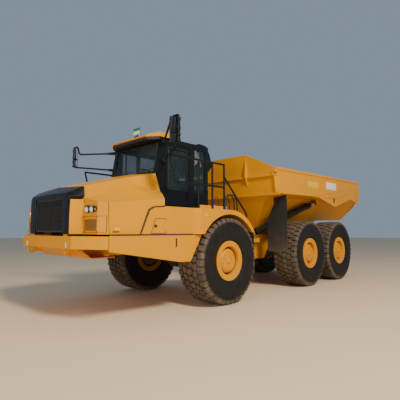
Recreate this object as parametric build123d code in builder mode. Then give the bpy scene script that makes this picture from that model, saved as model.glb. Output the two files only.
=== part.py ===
from build123d import *
from math import hypot
import os

# Articulated dump truck with six driven wheels, sizes in millimetres.
# X runs from the nose to the tail, Y to the truck's right hand, Z up.
# The origin lies on the ground, midway between nose and tail.

os.makedirs("parts", exist_ok=True)

# Overall layout
overall_length = 10800
front_overhang = 3240
wheelbase = 3607
bogie_spacing = 1966
track = 2687
seat_gap = 0.3
running_gap = 6

nose_x = -overall_length / 2
tail_x = overall_length / 2
axle1_x = nose_x + front_overhang
axle2_x = axle1_x + wheelbase
axle3_x = axle2_x + bogie_spacing

# Wheels
tyre_radius = 920
tyre_width = 730
tread_half_width = 322
rim_bead_radius = 330
rim_flange_radius = 420
rim_width = 640
rim_flange = 22
rim_barrel_wall = 30
wheel_disc_offset = 120
wheel_disc_thickness = 55
hub_radius = 250
hub_face_offset = 285
tyre_bulge_radius = 640
tyre_buttress_drop = 80
tyre_buttress_out = 18
tyre_shoulder_drop = 14
bead_shoulder = 5
rim_lip_drop = 25
rim_lip_taper = 6
rim_slope = 10
rim_disc_blend = 40
rim_disc_step = 5
hub_blend = 20
hub_taper = 30
hub_cover_drop = 40
axle_z = tyre_radius

# Axles
axle_tube_radius = 140
differential_radius = 235
brake_radius = 260
brake_width = 210
spindle_radius = 120
shaft_radius = 55
differential_half = 90
differential_taper = 130
brake_inset = 40
spring_seat_length = 240

# Front frame
frame_rail_y = 460
frame_rail_width = 120
front_rail_bottom = 1090
front_rail_top = 1400
front_rail_setback = 420
front_rail_overhang = 1020
front_rail_start_x = nose_x + front_rail_setback
front_rail_end_x = axle1_x + front_rail_overhang

# Centre hitch: upright steering pin, lengthways oscillation tube
hitch_behind_axle = 1430
hitch_x = axle1_x + hitch_behind_axle
hitch_z = 1100
hitch_plate = 60
hitch_hub_half = 235
hitch_hub_radius = 160
hitch_pin_radius = 80
hitch_nose_half_width = 210
oscillation_radius = 170
ring_radius = 250
ring_behind_hitch = 370
ring_length = 350
ring_start_x = hitch_x + ring_behind_hitch
ring_end_x = ring_start_x + ring_length
retainer_radius = 205
retainer_width = 40

# Rear frame
rear_rail_bottom = 1080
rear_rail_top = 1440
rear_rail_y = 420
rear_rail_width = 120
pivot_behind_axle = 727
pivot_x = axle3_x + pivot_behind_axle
pivot_z = 1400
pivot_pin_drop = 30
pivot_pin_radius = 45
rear_rail_past_pivot = 230
rear_rail_end_x = pivot_x + rear_rail_past_pivot
bed_pad = 20

# Hoist cylinders: lower eye on the rear frame, upper eye at the bed
hoist_foot_behind_hitch = 490
hoist_foot_y = 860
hoist_foot_z = 1470
hoist_head_behind_axle = 993
hoist_head_y = 1330
hoist_head_z = 2425
hoist_foot = (hitch_x + hoist_foot_behind_hitch, hoist_foot_y, hoist_foot_z)
hoist_head = (axle2_x + hoist_head_behind_axle, hoist_head_y, hoist_head_z)
hoist_barrel_radius = 82
hoist_rod_radius = 50
hoist_eye_radius = 80
hoist_eye_width = 90
hoist_pin_radius = 36
hoist_pin_gap = 4
hoist_swing_gap = 8
hoist_head_gap = 284
hoist_rod_start = 240
hoist_closed = hypot(*(high - low for low, high in zip(hoist_foot, hoist_head)))
hoist_barrel_length = hoist_closed - hoist_head_gap

# Steering cylinders: foot on the front frame, head at the hitch yoke
steer_above_hitch = 90
steer_foot_behind_axle = 100
steer_foot_y = 820
steer_head_behind_hitch = 220
steer_head_y = 560
steer_z = hitch_z + steer_above_hitch
steer_foot = (axle1_x + steer_foot_behind_axle, steer_foot_y, steer_z)
steer_head = (hitch_x + steer_head_behind_hitch, steer_head_y, steer_z)
steer_barrel_radius = 62
steer_rod_radius = 34
steer_eye_radius = 62
steer_eye_width = 66
steer_pin_radius = 26
steer_barrel_length = 1010
steer_rod_start = 520

# Deck and front fenders
deck_z = 2000
deck_plate = 15
panel_half_width = 1620
fender_flare = 80
fender_half_width = panel_half_width + fender_flare
fender_inner_y = 900
arch_radius = 1000
skirt_top = 1480
panel_gap = 12
panel_plate = 14

# Hood
surround_setback = 40
hood_setback = 240
hood_ahead_of_axle = 1380
hood_lift = 20
surround_front_x = nose_x + surround_setback
hood_front_x = nose_x + hood_setback
hood_rear_x = axle1_x - hood_ahead_of_axle
hood_wall = 14
hood_bottom = skirt_top + hood_lift
grille_half_width = 575
vent_y = 1160
vent_z = 1680
grille_sill = 30
grille_bottom = hood_bottom + grille_sill
grille_top = 2130

# Cab
cab_ahead_of_axle = 1350
cab_behind_axle = 200
cab_front_x = axle1_x - cab_ahead_of_axle
cab_rear_x = axle1_x + cab_behind_axle
cab_half_width = 850
cab_wall = 50
roof_top = 3620
roof_height = 100
cab_sill_drop = 920
door_front_ahead = 1130
door_rear_ahead = 420
door_sill = 90
door_header = 120
door_handle_height = 300
cab_top = roof_top - roof_height
cab_sill = cab_top - cab_sill_drop
glass = 8
door_front_x = axle1_x - door_front_ahead
door_rear_x = axle1_x - door_rear_ahead
door_bottom = deck_z + door_sill
door_top = cab_top - door_header
door_gap = 8
door_handle_z = deck_z + door_handle_height
hinge_radius = 12
hinge_leaf = 8
hinge_length = 60
hinge_low = 150
hinge_high = 250
hinge_z = (door_bottom + hinge_low, door_top - hinge_high)
rail_radius = 21

# Dump body
bed_ahead_of_axle = 1657
bed_front_x = axle2_x - bed_ahead_of_axle
bed_wall = 20
bed_top_front = 3140
bed_top_rear = 3280
headboard_top = 3600
headboard_reach = 130
headboard_top_x = bed_front_x - headboard_reach
headboard_half_top = 750
bed_lip_z = 2470
bed_nose_setback = 380
bed_nose_lean = 60
bed_nose_bottom_x = bed_front_x + bed_nose_setback
bed_nose_top_x = bed_front_x - bed_nose_lean
bed_bend_rear = 2930
bed_rear_half = 1590
headboard_rib_z = 2985


def tube_between(start, end, radius):
    """One round bar or tube from a start point to an end point, added to the open part."""
    run = Vector(*end) - Vector(*start)
    with BuildSketch(Plane(origin=start, z_dir=run)) as section:
        Circle(radius)
    extrude(section.sketch, amount=run.length)


def both_sides(point):
    """A point on the right-hand side and its twin on the left-hand side."""
    return [(point[0], side * point[1], point[2]) for side in (1, -1)]


# Wheels: name, axle position, side
wheels = [
    ("front_left", axle1_x, -1),
    ("front_right", axle1_x, 1),
    ("middle_left", axle2_x, -1),
    ("middle_right", axle2_x, 1),
    ("rear_left", axle3_x, -1),
    ("rear_right", axle3_x, 1),
]
bead_half = rim_width / 2 - rim_flange
for wheel_name, wheel_x, side in wheels:
    wheel_centre = (wheel_x, side * track / 2, axle_z)
    wheel_plane = Plane(origin=wheel_centre, x_dir=(0, side, 0), z_dir=(side, 0, 0))
    wheel_axis = Axis(wheel_centre, (0, 1, 0))
    with BuildPart() as tyre:
        with BuildSketch(wheel_plane):
            with BuildLine():
                Line((0, rim_bead_radius), (bead_half, rim_bead_radius))
                Line((bead_half, rim_bead_radius), (bead_half, rim_flange_radius + bead_shoulder))
                ThreePointArc(
                    (bead_half, rim_flange_radius + bead_shoulder),
                    (tyre_width / 2, tyre_bulge_radius),
                    (tread_half_width + tyre_buttress_out, tyre_radius - tyre_buttress_drop),
                )
                Polyline(
                    (tread_half_width + tyre_buttress_out, tyre_radius - tyre_buttress_drop),
                    (tread_half_width, tyre_radius - tyre_shoulder_drop),
                    (tread_half_width / 2, tyre_radius),
                    (0, tyre_radius),
                )
                mirror(about=Plane.YZ)
            make_face()
        revolve(axis=wheel_axis)
    tyre.part.label = f"tyre_{wheel_name}"
    export_step(tyre.part, f"parts/tyre_{wheel_name}.step")

    barrel_outer = rim_bead_radius - seat_gap
    barrel_inner = barrel_outer - rim_barrel_wall
    flange_face = bead_half + seat_gap
    disc_face = wheel_disc_offset + wheel_disc_thickness
    with BuildPart() as rim:
        with BuildSketch(wheel_plane):
            with BuildLine():
                Polyline(
                    (wheel_disc_offset, 0),
                    (wheel_disc_offset, barrel_inner),
                    (-rim_width / 2, barrel_inner),
                    (-rim_width / 2, rim_flange_radius),
                    (-flange_face, rim_flange_radius),
                    (-flange_face, barrel_outer),
                    (flange_face, barrel_outer),
                    (flange_face, rim_flange_radius),
                    (rim_width / 2, rim_flange_radius),
                    (rim_width / 2, rim_flange_radius - rim_lip_drop),
                    (rim_width / 2 - rim_lip_taper, barrel_inner + rim_slope),
                    (disc_face + rim_disc_blend, barrel_inner - rim_disc_step),
                    (disc_face, barrel_inner - rim_disc_step - hub_blend),
                    (disc_face, hub_radius + hub_blend),
                    (hub_face_offset - hub_taper, hub_radius),
                    (hub_face_offset, hub_radius - hub_cover_drop),
                    (hub_face_offset, 0),
                    close=True,
                )
            make_face()
        revolve(axis=wheel_axis)
    rim.part.label = f"rim_{wheel_name}"
    export_step(rim.part, f"parts/rim_{wheel_name}.step")


def axle_housing(axle_x):
    """Differential, tubes, brake housings and spindles of one axle, added to the open part."""
    spindle_end = track / 2 + wheel_disc_offset - seat_gap
    brake_start = track / 2 - rim_width / 2 + brake_inset
    with BuildSketch(Plane(origin=(axle_x, 0, axle_z), x_dir=(0, 1, 0), z_dir=(1, 0, 0))) as half_section:
        with BuildLine():
            Polyline(
                (0, differential_radius),
                (differential_half, differential_radius),
                (differential_half + differential_taper, axle_tube_radius),
                (brake_start, axle_tube_radius),
                (brake_start, brake_radius),
                (brake_start + brake_width, brake_radius),
                (brake_start + brake_width, spindle_radius),
                (spindle_end, spindle_radius),
                (spindle_end, 0),
                (0, 0),
            )
            mirror(about=Plane.YZ)
        make_face()
    revolve(half_section.sketch, axis=Axis((axle_x, 0, axle_z), (0, 1, 0)))


with BuildPart() as front_axle:
    axle_housing(axle1_x)
    # spring seats below the frame rails
    for side in (1, -1):
        with Locations((axle1_x, side * frame_rail_y, (axle_z + front_rail_bottom - seat_gap) / 2)):
            Box(spring_seat_length, frame_rail_width, front_rail_bottom - seat_gap - axle_z)
front_axle.part.label = "front_axle"
export_step(front_axle.part, "parts/front_axle.step")

with BuildPart() as bogie_axles:
    axle_housing(axle2_x)
    axle_housing(axle3_x)
    # propeller shafts from the hitch to the middle axle, and on to the rear axle
    tube_between(
        (ring_end_x + retainer_width + seat_gap, 0, axle_z),
        (axle3_x, 0, axle_z),
        shaft_radius,
    )
bogie_axles.part.label = "bogie_axles"
export_step(bogie_axles.part, "parts/bogie_axles.step")

# Front frame: two box rails, cross tubes, the hitch nose and the steering cylinder feet
engine_setback = 680
engine_to_cab = 120
engine_front_x = nose_x + engine_setback
engine_rear_x = hood_rear_x - engine_to_cab
# columns: x, radius
cross_tubes = [(engine_front_x + 300, 80), (engine_rear_x - 200, 80), (axle1_x + 700, 90)]
cross_tube_z = (front_rail_bottom + front_rail_top) / 2
steer_ear_half = steer_eye_width / 2 + seat_gap
steer_ear = 30
closing_plate = 120
nose_plate_inset = 100
with BuildPart() as front_frame:
    rail_length = front_rail_end_x - front_rail_start_x
    rail_height = front_rail_top - front_rail_bottom
    with Locations(
        ((front_rail_start_x + front_rail_end_x) / 2, frame_rail_y, cross_tube_z),
        ((front_rail_start_x + front_rail_end_x) / 2, -frame_rail_y, cross_tube_z),
    ):
        Box(rail_length, frame_rail_width, rail_height)
    for cross_x, cross_radius in cross_tubes:
        left_end, right_end = (cross_x, -frame_rail_y, cross_tube_z), (cross_x, frame_rail_y, cross_tube_z)
        tube_between(left_end, right_end, cross_radius)
    # closing plate across the rail ends
    plate_bottom = hitch_z - hitch_hub_half - hitch_plate
    plate_top = hitch_z + hitch_hub_half + hitch_plate
    with Locations((front_rail_end_x, 0, (plate_bottom + plate_top) / 2)):
        Box(closing_plate, 2 * frame_rail_y + frame_rail_width, plate_top - plate_bottom)
    # two nose plates with the bores for the upright pin
    for plate_z in (plate_bottom, plate_top - hitch_plate):
        with BuildSketch(Plane.XY.offset(plate_z)):
            with BuildLine():
                Polyline(
                    (front_rail_end_x, -frame_rail_y + nose_plate_inset),
                    (hitch_x, -hitch_nose_half_width),
                )
                ThreePointArc(
                    (hitch_x, -hitch_nose_half_width),
                    (hitch_x + hitch_nose_half_width, 0),
                    (hitch_x, hitch_nose_half_width),
                )
                Polyline(
                    (hitch_x, hitch_nose_half_width),
                    (front_rail_end_x, frame_rail_y - nose_plate_inset),
                    (front_rail_end_x, -frame_rail_y + nose_plate_inset),
                )
            make_face()
            with Locations((hitch_x, 0)):
                Circle(hitch_pin_radius, mode=Mode.SUBTRACT)
        extrude(amount=hitch_plate)
    # ears that hold the steering cylinders' feet
    for ear_z in (steer_z + steer_ear_half, steer_z - steer_ear_half - steer_ear):
        for foot_x, foot_y, foot_z in both_sides(steer_foot):
            inner_y = (frame_rail_y + frame_rail_width / 2) * foot_y / abs(foot_y)
            with BuildSketch(Plane.XY.offset(ear_z)):
                with Locations((foot_x, foot_y)):
                    Circle(steer_eye_radius)
                with Locations((foot_x, (foot_y + inner_y) / 2)):
                    Rectangle(2 * steer_eye_radius, abs(foot_y - inner_y))
            extrude(amount=steer_ear)
    for foot_x, foot_y, foot_z in both_sides(steer_foot):
        with Locations((foot_x, foot_y, foot_z)):
            Cylinder(steer_pin_radius - seat_gap, 2 * (steer_ear_half + steer_ear))
front_frame.part.label = "front_frame"
export_step(front_frame.part, "parts/front_frame.step")

# Engine and cooling pack, plain blocks at their real place
with BuildPart() as engine:
    engine_clearance = 15
    engine_half_width = frame_rail_y - frame_rail_width / 2 - engine_clearance
    engine_height = 700
    engine_bottom = cross_tube_z + cross_tubes[0][1] + seat_gap
    with Locations(((engine_front_x + engine_rear_x) / 2, 0, engine_bottom + engine_height / 2)):
        Box(engine_rear_x - engine_front_x, 2 * engine_half_width, engine_height)
engine.part.label = "engine"
export_step(engine.part, "parts/engine.step")

with BuildPart() as radiator:
    radiator_depth = 260
    radiator_width = 1100
    radiator_top = 2120
    fan_space = 60
    radiator_x = engine_front_x - fan_space - radiator_depth / 2
    with Locations((radiator_x, 0, (front_rail_top + seat_gap + radiator_top) / 2)):
        Box(radiator_depth, radiator_width, radiator_top - front_rail_top - seat_gap)
radiator.part.label = "radiator"
export_step(radiator.part, "parts/radiator.step")

# Bumper: a band round the nose, with an underside pan and two tow eyes
bumper_cut_back = 630
bumper_depth = 160
bumper_half_face = panel_half_width - bumper_cut_back
bumper_bottom = 1260
bumper_top = skirt_top - panel_gap
bumper_corner_setback = 215
bumper_corner_inset = 170
bumper_corner_depth = 130
bumper_corner_wall = 110
bumper_bend = 60
bumper_return = 120
skirt_setback = 315
bumper_corner_x = nose_x + bumper_corner_setback
bumper_corner_y = panel_half_width - bumper_corner_inset
skirt_front_x = nose_x + skirt_setback
tow_eye_y = 760
tow_eye_radius = 75
tow_bore_radius = 32
tow_plate = 50
tow_eye_setback = 5
tow_eye_drop = 60
tow_shank_length = 260
tow_shank_height = 130
tow_shank_drop = 40
tow_eye_x = nose_x + tow_eye_radius + tow_eye_setback
pan_plate = 14
pan_bottom = front_rail_bottom - seat_gap - pan_plate
pan_front_setback = 100
pan_length = 900
pan_half_width = 900
pan_lip = 30
bracket_start_x = nose_x + bumper_depth
knuckle_half = (hood_bottom - bumper_top) / 2
knuckle_x = surround_front_x + knuckle_half
knuckle_y = 680
knuckle_length = 120
with BuildPart() as bumper:
    with BuildSketch(Plane.XY.offset(bumper_bottom)):
        with BuildLine():
            Polyline(
                (nose_x, 0),
                (nose_x, bumper_half_face),
                (bumper_corner_x, bumper_corner_y),
                (skirt_front_x - panel_gap, panel_half_width),
                (skirt_front_x - panel_gap, panel_half_width - bumper_return),
                (bumper_corner_x + bumper_corner_depth, bumper_corner_y - bumper_corner_wall),
                (nose_x + bumper_depth, bumper_half_face - bumper_bend),
                (nose_x + bumper_depth, 0),
            )
            mirror(about=Plane.XZ)
        make_face()
    extrude(amount=bumper_top - bumper_bottom)
    # pan that slopes down and back below the rails
    with BuildSketch(Plane.XZ):
        with BuildLine():
            Polyline(
                (nose_x + pan_front_setback, bumper_bottom + pan_lip),
                (nose_x + pan_front_setback, bumper_bottom),
                (front_rail_start_x, pan_bottom),
                (nose_x + pan_length, pan_bottom),
                (nose_x + pan_length, pan_bottom + pan_plate),
                (front_rail_start_x, pan_bottom + pan_plate),
                (nose_x + bumper_depth, bumper_bottom + pan_lip),
                close=True,
            )
        make_face()
    extrude(amount=pan_half_width, both=True)
    # rail mounting brackets
    bracket_length = front_rail_start_x - seat_gap - bracket_start_x
    with Locations(
        (bracket_start_x + bracket_length / 2, frame_rail_y, (bumper_bottom + front_rail_top) / 2),
        (bracket_start_x + bracket_length / 2, -frame_rail_y, (bumper_bottom + front_rail_top) / 2),
    ):
        Box(bracket_length, frame_rail_width, front_rail_top - bumper_bottom)
    # hinge knuckles of the hood, on pedestals
    for side in (1, -1):
        with Locations((knuckle_x, side * knuckle_y, bumper_top + knuckle_half / 2)):
            Box(knuckle_half, knuckle_length, knuckle_half)
        tube_between(
            (knuckle_x, side * knuckle_y - knuckle_length / 2, bumper_top + knuckle_half),
            (knuckle_x, side * knuckle_y + knuckle_length / 2, bumper_top + knuckle_half),
            knuckle_half - seat_gap,
        )
    # tow eyes
    for side in (1, -1):
        with BuildSketch(Plane.XZ.offset(-side * tow_eye_y - tow_plate / 2)):
            with Locations((tow_eye_x, bumper_bottom - tow_eye_drop)):
                Circle(tow_eye_radius)
            with Locations((tow_eye_x + tow_shank_length / 2, bumper_bottom - tow_shank_drop)):
                Rectangle(tow_shank_length, tow_shank_height)
            with Locations((tow_eye_x, bumper_bottom - tow_eye_drop)):
                Circle(tow_bore_radius, mode=Mode.SUBTRACT)
        extrude(amount=tow_plate)
bumper.part.label = "bumper"
export_step(bumper.part, "parts/bumper.step")

# Side skirts below the hood and deck, each with two outriggers to the frame
skirt_bottom_ahead = 1130
skirt_top_ahead = 820
skirt_slot_ahead = 1500
skirt_low_run = 250
outrigger_length = 120
outrigger_height = 140
outrigger_z = 1300
skirt_rear_bottom_x = axle1_x - skirt_bottom_ahead
skirt_rear_top_x = axle1_x - skirt_top_ahead
skirt_front_bottom = 1225
skirt_rear_bottom = 975
skirt_slot_x = axle1_x - skirt_slot_ahead
skirt_slot_z = 1335
skirt_slot_length = 170
skirt_slot_width = 42
outrigger_x = [axle1_x - 2450, axle1_x - 1300]
rail_outer_y = frame_rail_y + frame_rail_width / 2
with BuildPart() as skirts:
    with BuildSketch(Plane.XZ.offset(-panel_half_width + panel_plate)):
        with BuildLine():
            Polyline(
                (skirt_front_x, skirt_top),
                (skirt_front_x, skirt_front_bottom),
                (skirt_rear_bottom_x - skirt_low_run, skirt_rear_bottom),
                (skirt_rear_bottom_x, skirt_rear_bottom),
                (skirt_rear_top_x, skirt_top),
                close=True,
            )
        make_face()
        with Locations((skirt_slot_x, skirt_slot_z)):
            SlotOverall(skirt_slot_length, skirt_slot_width, rotation=90, mode=Mode.SUBTRACT)
    extrude(amount=-panel_plate)
    for beam_x in outrigger_x:
        with Locations((beam_x, (rail_outer_y + seat_gap + panel_half_width - panel_plate) / 2, outrigger_z)):
            Box(outrigger_length, panel_half_width - rail_outer_y - seat_gap - panel_plate, outrigger_height)
    mirror(about=Plane.XZ)
skirts.part.label = "skirts"
export_step(skirts.part, "parts/skirts.step")

# Deck with both front fenders: top plate, side plates, arches and posts to the frame
fender_ahead_of_cab = 930
deck_past_hood = 40
deck_behind_axle = 560
fender_tip_behind = 850
fender_tip_z = 1530
fender_tip_width = 75
fender_tip_rise = 20
fender_front_x = hood_rear_x - fender_ahead_of_cab
deck_front_x = hood_rear_x + deck_past_hood
deck_rear_x = axle1_x + deck_behind_axle
fender_tip_x = axle1_x + fender_tip_behind
deck_post_ahead = 1150
deck_post_length = 140
deck_post_x = [axle1_x - deck_post_ahead, deck_rear_x]
rail_inset = 60
rail_y = panel_half_width - rail_inset
fender_bend_ahead = 1080
fender_wide_ahead = 890
fender_crown_behind = 30
fender_bend_x = axle1_x - fender_bend_ahead
fender_wide_x = axle1_x - fender_wide_ahead
fender_crown_x = axle1_x + fender_crown_behind
# middle of the fender's rear curve, behind the axle and below the deck
fender_curve_behind = 540
fender_curve_drop = 150
# thickness of the curved shell at its tip and at its middle
fender_shell = 18
fender_shell_drop = 5
shell_curve_back = 8
shell_curve_drop = 14
fender_side_ahead = 900
arch_front_ahead = 820
arch_drop = 15
# columns: behind the front end, below the deck
fender_nose = [(185, 80), (290, 25), (540, 0)]
deck_half_front = 960
deck_corner_back = 545
toe_height = 75
toe_plate = 12
# columns: start and end, both ahead of the front axle
toe_boards = [(820, 480), (400, 100)]
hatch_ahead = 2090
hatch_length = 330
hatch_sill = 25
hatch_front_x = axle1_x - hatch_ahead
hatch_rear_x = hatch_front_x + hatch_length
hatch_bottom = skirt_top + panel_gap + hatch_sill
hatch_top = 1770
hatch_gap = 5
hatch_ledge = 6
hatch_ledge_out = 25
hatch_ledge_in = 20
hatch_slant = 92


def hatch_outline(inset):
    """Outline of the side hatch seen from the side, drawn in by an inset, or out where it is negative."""
    return [
        (hatch_front_x + 1.3 * inset, hatch_bottom + inset),
        (hatch_front_x + hatch_slant + 0.8 * inset, hatch_top - inset),
        (hatch_rear_x - inset, hatch_top - inset),
        (hatch_rear_x - inset, hatch_bottom + inset),
    ]


with BuildPart() as deck:
    # side plate, outline seen from the side
    with BuildSketch(Plane.XZ.offset(-fender_half_width + panel_plate)):
        with BuildLine():
            Polyline(
                (axle1_x - fender_side_ahead, skirt_top + panel_gap),
                (axle1_x - fender_side_ahead, deck_z),
                (fender_crown_x, deck_z),
            )
            ThreePointArc(
                (fender_crown_x, deck_z),
                (axle1_x + fender_curve_behind, deck_z - fender_curve_drop),
                (fender_tip_x, fender_tip_z),
            )
            Polyline(
                (fender_tip_x, fender_tip_z),
                (fender_tip_x - fender_tip_width, fender_tip_z - fender_tip_rise),
            )
            ThreePointArc(
                (fender_tip_x - fender_tip_width, fender_tip_z - fender_tip_rise),
                (axle1_x, axle_z + arch_radius - arch_drop),
                (axle1_x - arch_front_ahead, skirt_top + panel_gap),
            )
            Line(
                (axle1_x - arch_front_ahead, skirt_top + panel_gap),
                (axle1_x - fender_side_ahead, skirt_top + panel_gap),
            )
        make_face()
    extrude(amount=-panel_plate)
    # forward side panel below the hood's gap
    with BuildSketch(Plane.XZ.offset(-panel_half_width + panel_plate)):
        with BuildLine():
            Polyline(
                (fender_front_x, skirt_top + panel_gap),
                *[(fender_front_x + back, deck_z - drop) for back, drop in fender_nose],
                (fender_bend_x, deck_z),
                (fender_bend_x, skirt_top + panel_gap),
                close=True,
            )
        make_face()
    extrude(amount=-panel_plate)
    # slanted step from the panel out to the fender
    with BuildSketch(Plane.XY.offset(skirt_top + panel_gap)):
        with BuildLine():
            Polyline(
                (fender_bend_x, panel_half_width),
                (fender_wide_x, fender_half_width),
                (fender_wide_x, fender_half_width - panel_plate),
                (fender_bend_x, panel_half_width - panel_plate),
                close=True,
            )
        make_face()
    extrude(amount=deck_z - skirt_top - panel_gap)
    # top plate of the deck from the panel inwards
    with BuildSketch(Plane.XY.offset(deck_z - deck_plate)):
        with BuildLine():
            Polyline(
                (deck_front_x, 0),
                (deck_front_x, deck_half_front),
                (fender_front_x + deck_corner_back, panel_half_width),
                (fender_bend_x, panel_half_width),
                (fender_wide_x, fender_half_width),
                (fender_crown_x, fender_half_width),
                (fender_crown_x, fender_inner_y),
                (deck_rear_x, fender_inner_y),
                (deck_rear_x, 0),
                close=True,
            )
        make_face()
    extrude(amount=deck_plate)
    # rounded rear of the fender's top
    with BuildSketch(Plane.XZ.offset(-fender_half_width)):
        with BuildLine():
            ThreePointArc(
                (fender_crown_x, deck_z),
                (axle1_x + fender_curve_behind, deck_z - fender_curve_drop),
                (fender_tip_x, fender_tip_z),
            )
            Line(
                (fender_tip_x, fender_tip_z),
                (fender_tip_x - fender_shell, fender_tip_z - fender_shell_drop),
            )
            ThreePointArc(
                (fender_tip_x - fender_shell, fender_tip_z - fender_shell_drop),
                (
                    axle1_x + fender_curve_behind - shell_curve_back,
                    deck_z - fender_curve_drop - shell_curve_drop,
                ),
                (fender_crown_x, deck_z - deck_plate),
            )
            Line((fender_crown_x, deck_z - deck_plate), (fender_crown_x, deck_z))
        make_face()
    extrude(amount=fender_half_width - fender_inner_y)
    # upright toe boards along the outer edge, clear of the rail posts
    for board_start, board_end in toe_boards:
        with Locations((axle1_x - (board_start + board_end) / 2, rail_y, deck_z + toe_height / 2)):
            Box(board_start - board_end, toe_plate, toe_height)
    # posts on the frame rails
    for post_x in deck_post_x:
        with Locations((post_x, frame_rail_y, (front_rail_top + seat_gap + deck_z - deck_plate) / 2)):
            Box(deck_post_length, frame_rail_width, deck_z - deck_plate - front_rail_top - seat_gap)
    mirror(about=Plane.XZ)
    # opening for the hatch in the left panel, with a ledge behind its edge
    with BuildSketch(Plane.XZ.offset(panel_half_width - 2 * panel_plate)):
        with BuildLine():
            Polyline(*hatch_outline(-hatch_gap), close=True)
        make_face()
    extrude(amount=3 * panel_plate, mode=Mode.SUBTRACT)
    with BuildSketch(Plane.XZ.offset(panel_half_width - panel_plate)):
        with BuildLine():
            Polyline(*hatch_outline(-hatch_gap - hatch_ledge_out), close=True)
        make_face()
        with BuildLine():
            Polyline(*hatch_outline(hatch_ledge_in), close=True)
        make_face(mode=Mode.SUBTRACT)
    extrude(amount=-hatch_ledge)
deck.part.label = "deck"
export_step(deck.part, "parts/deck.step")

# Front mudflaps behind the front wheels, hung below the fender tips
flap_plate = 16
flap_offset = 90
flap_y = 1330
flap_width = 560
flap_low_z = 560
flap_hanger_width = 500
flap_hanger_height = 20
with BuildPart() as front_flaps:
    for side in (1, -1):
        with BuildSketch(Plane.YZ.offset(fender_tip_x + flap_offset)):
            with Locations((side * flap_y, (fender_tip_z + flap_low_z) / 2)):
                Rectangle(flap_width, fender_tip_z - flap_low_z)
        extrude(amount=flap_plate)
        hanger_x = fender_tip_x + (flap_offset + seat_gap) / 2
        with Locations((hanger_x, side * flap_y, fender_tip_z - flap_hanger_height / 2)):
            Box(flap_offset - seat_gap, flap_hanger_width, flap_hanger_height)
front_flaps.part.label = "front_flaps"
export_step(front_flaps.part, "parts/front_flaps.step")

# Access steps behind the left front wheel: two stringers, three treads and hangers below the fender
ladder_clearance = 12
ladder_drop = 40
ladder_front_x = fender_tip_x + flap_offset + flap_plate + ladder_clearance
ladder_depth = 150
ladder_top = fender_tip_z - ladder_drop
ladder_bottom = 540
ladder_inset = 260
ladder_width = 380
ladder_outer_y = fender_half_width - ladder_inset
ladder_inner_y = ladder_outer_y - ladder_width
stringer_plate = 14
tread_plate = 25
hanger_rise = 18
hanger_seat = 20
hanger_width = 40
step_first = 30
step_pitch = 300
step_setback = 60
# columns: back from the front edge, height
stringer_outline = [
    (120, ladder_top),
    (ladder_depth, 900),
    (130, ladder_bottom),
    (30, ladder_bottom),
    (0, 700),
]
with BuildPart() as steps:
    for stringer_y in (-ladder_inner_y, -ladder_outer_y):
        with BuildSketch(Plane.XZ.offset(-stringer_y)):
            with BuildLine():
                Polyline(
                    (ladder_front_x, ladder_top),
                    *[(ladder_front_x + back, z) for back, z in stringer_outline],
                    close=True,
                )
            make_face()
        extrude(amount=stringer_plate / 2, both=True)
    tread_heights = [ladder_bottom + step_first + n * step_pitch for n in range(3)]
    for tread_z in (*tread_heights, ladder_top - step_first / 2):
        with Locations(
            (ladder_front_x + ladder_depth / 2, -(ladder_inner_y + ladder_outer_y) / 2, tread_z)
        ):
            Box(ladder_depth - step_setback, ladder_outer_y - ladder_inner_y, tread_plate)
    # hangers reach over the flap to the fender's end
    hanger_length = ladder_front_x + hanger_seat - fender_tip_x - seat_gap
    for stringer_y in (-ladder_inner_y, -ladder_outer_y):
        hanger_centre_x = fender_tip_x + seat_gap + hanger_length / 2
        with Locations((hanger_centre_x, stringer_y, fender_tip_z + seat_gap + hanger_rise / 2)):
            Box(hanger_length, hanger_width, hanger_rise)
        with Locations((ladder_front_x + hanger_seat / 2, stringer_y, (fender_tip_z + ladder_top) / 2)):
            Box(hanger_seat, hanger_width, fender_tip_z - ladder_top + 2 * seat_gap)
steps.part.label = "steps"
export_step(steps.part, "parts/steps.step")

# Hood: sections across the truck, from the front face to the cab
hood_bulge = 20
hood_taper_length = 420
hood_half_rear = 980
# columns: behind the front face, out from the panels
hood_corner = [(0, -240), (120, -50), (400, hood_bulge)]
# columns: x, side bottom y, side top y, side top z, shoulder y, shoulder z, crown y, crown z, centre z
hood_sections = [
    (hood_front_x, panel_half_width - 80, panel_half_width - 120, 2010, 960, 2110, 900, 2320, 2370),
    (hood_rear_x - 620, panel_half_width + 5, panel_half_width - 30, 2110, 900, 2440, 860, 2590, 2650),
    (hood_rear_x, panel_half_width + 20, panel_half_width - 20, 2180, 990, 2350, 840, 2730, 2790),
]


def hood_form(inset, start_shift):
    """The hood's outer form, or its inner form when an inset is given, added to the open part."""
    outlines = []
    for x, low_y, side_y, side_z, shoulder_y, shoulder_z, crown_y, crown_z, centre_z in hood_sections:
        shift = start_shift if x == hood_front_x else 0
        with BuildSketch(Plane.YZ.offset(x + shift)) as outline:
            with BuildLine():
                Polyline(
                    (0, hood_bottom - inset),
                    (low_y - inset, hood_bottom - inset),
                    (side_y - inset, side_z - inset),
                    (shoulder_y - inset, shoulder_z - inset),
                    (crown_y - inset, crown_z - inset),
                    (0, centre_z - inset),
                )
                mirror(about=Plane.YZ)
            make_face()
        outlines.append(outline.sketch)
    loft(outlines, ruled=True)


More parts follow.
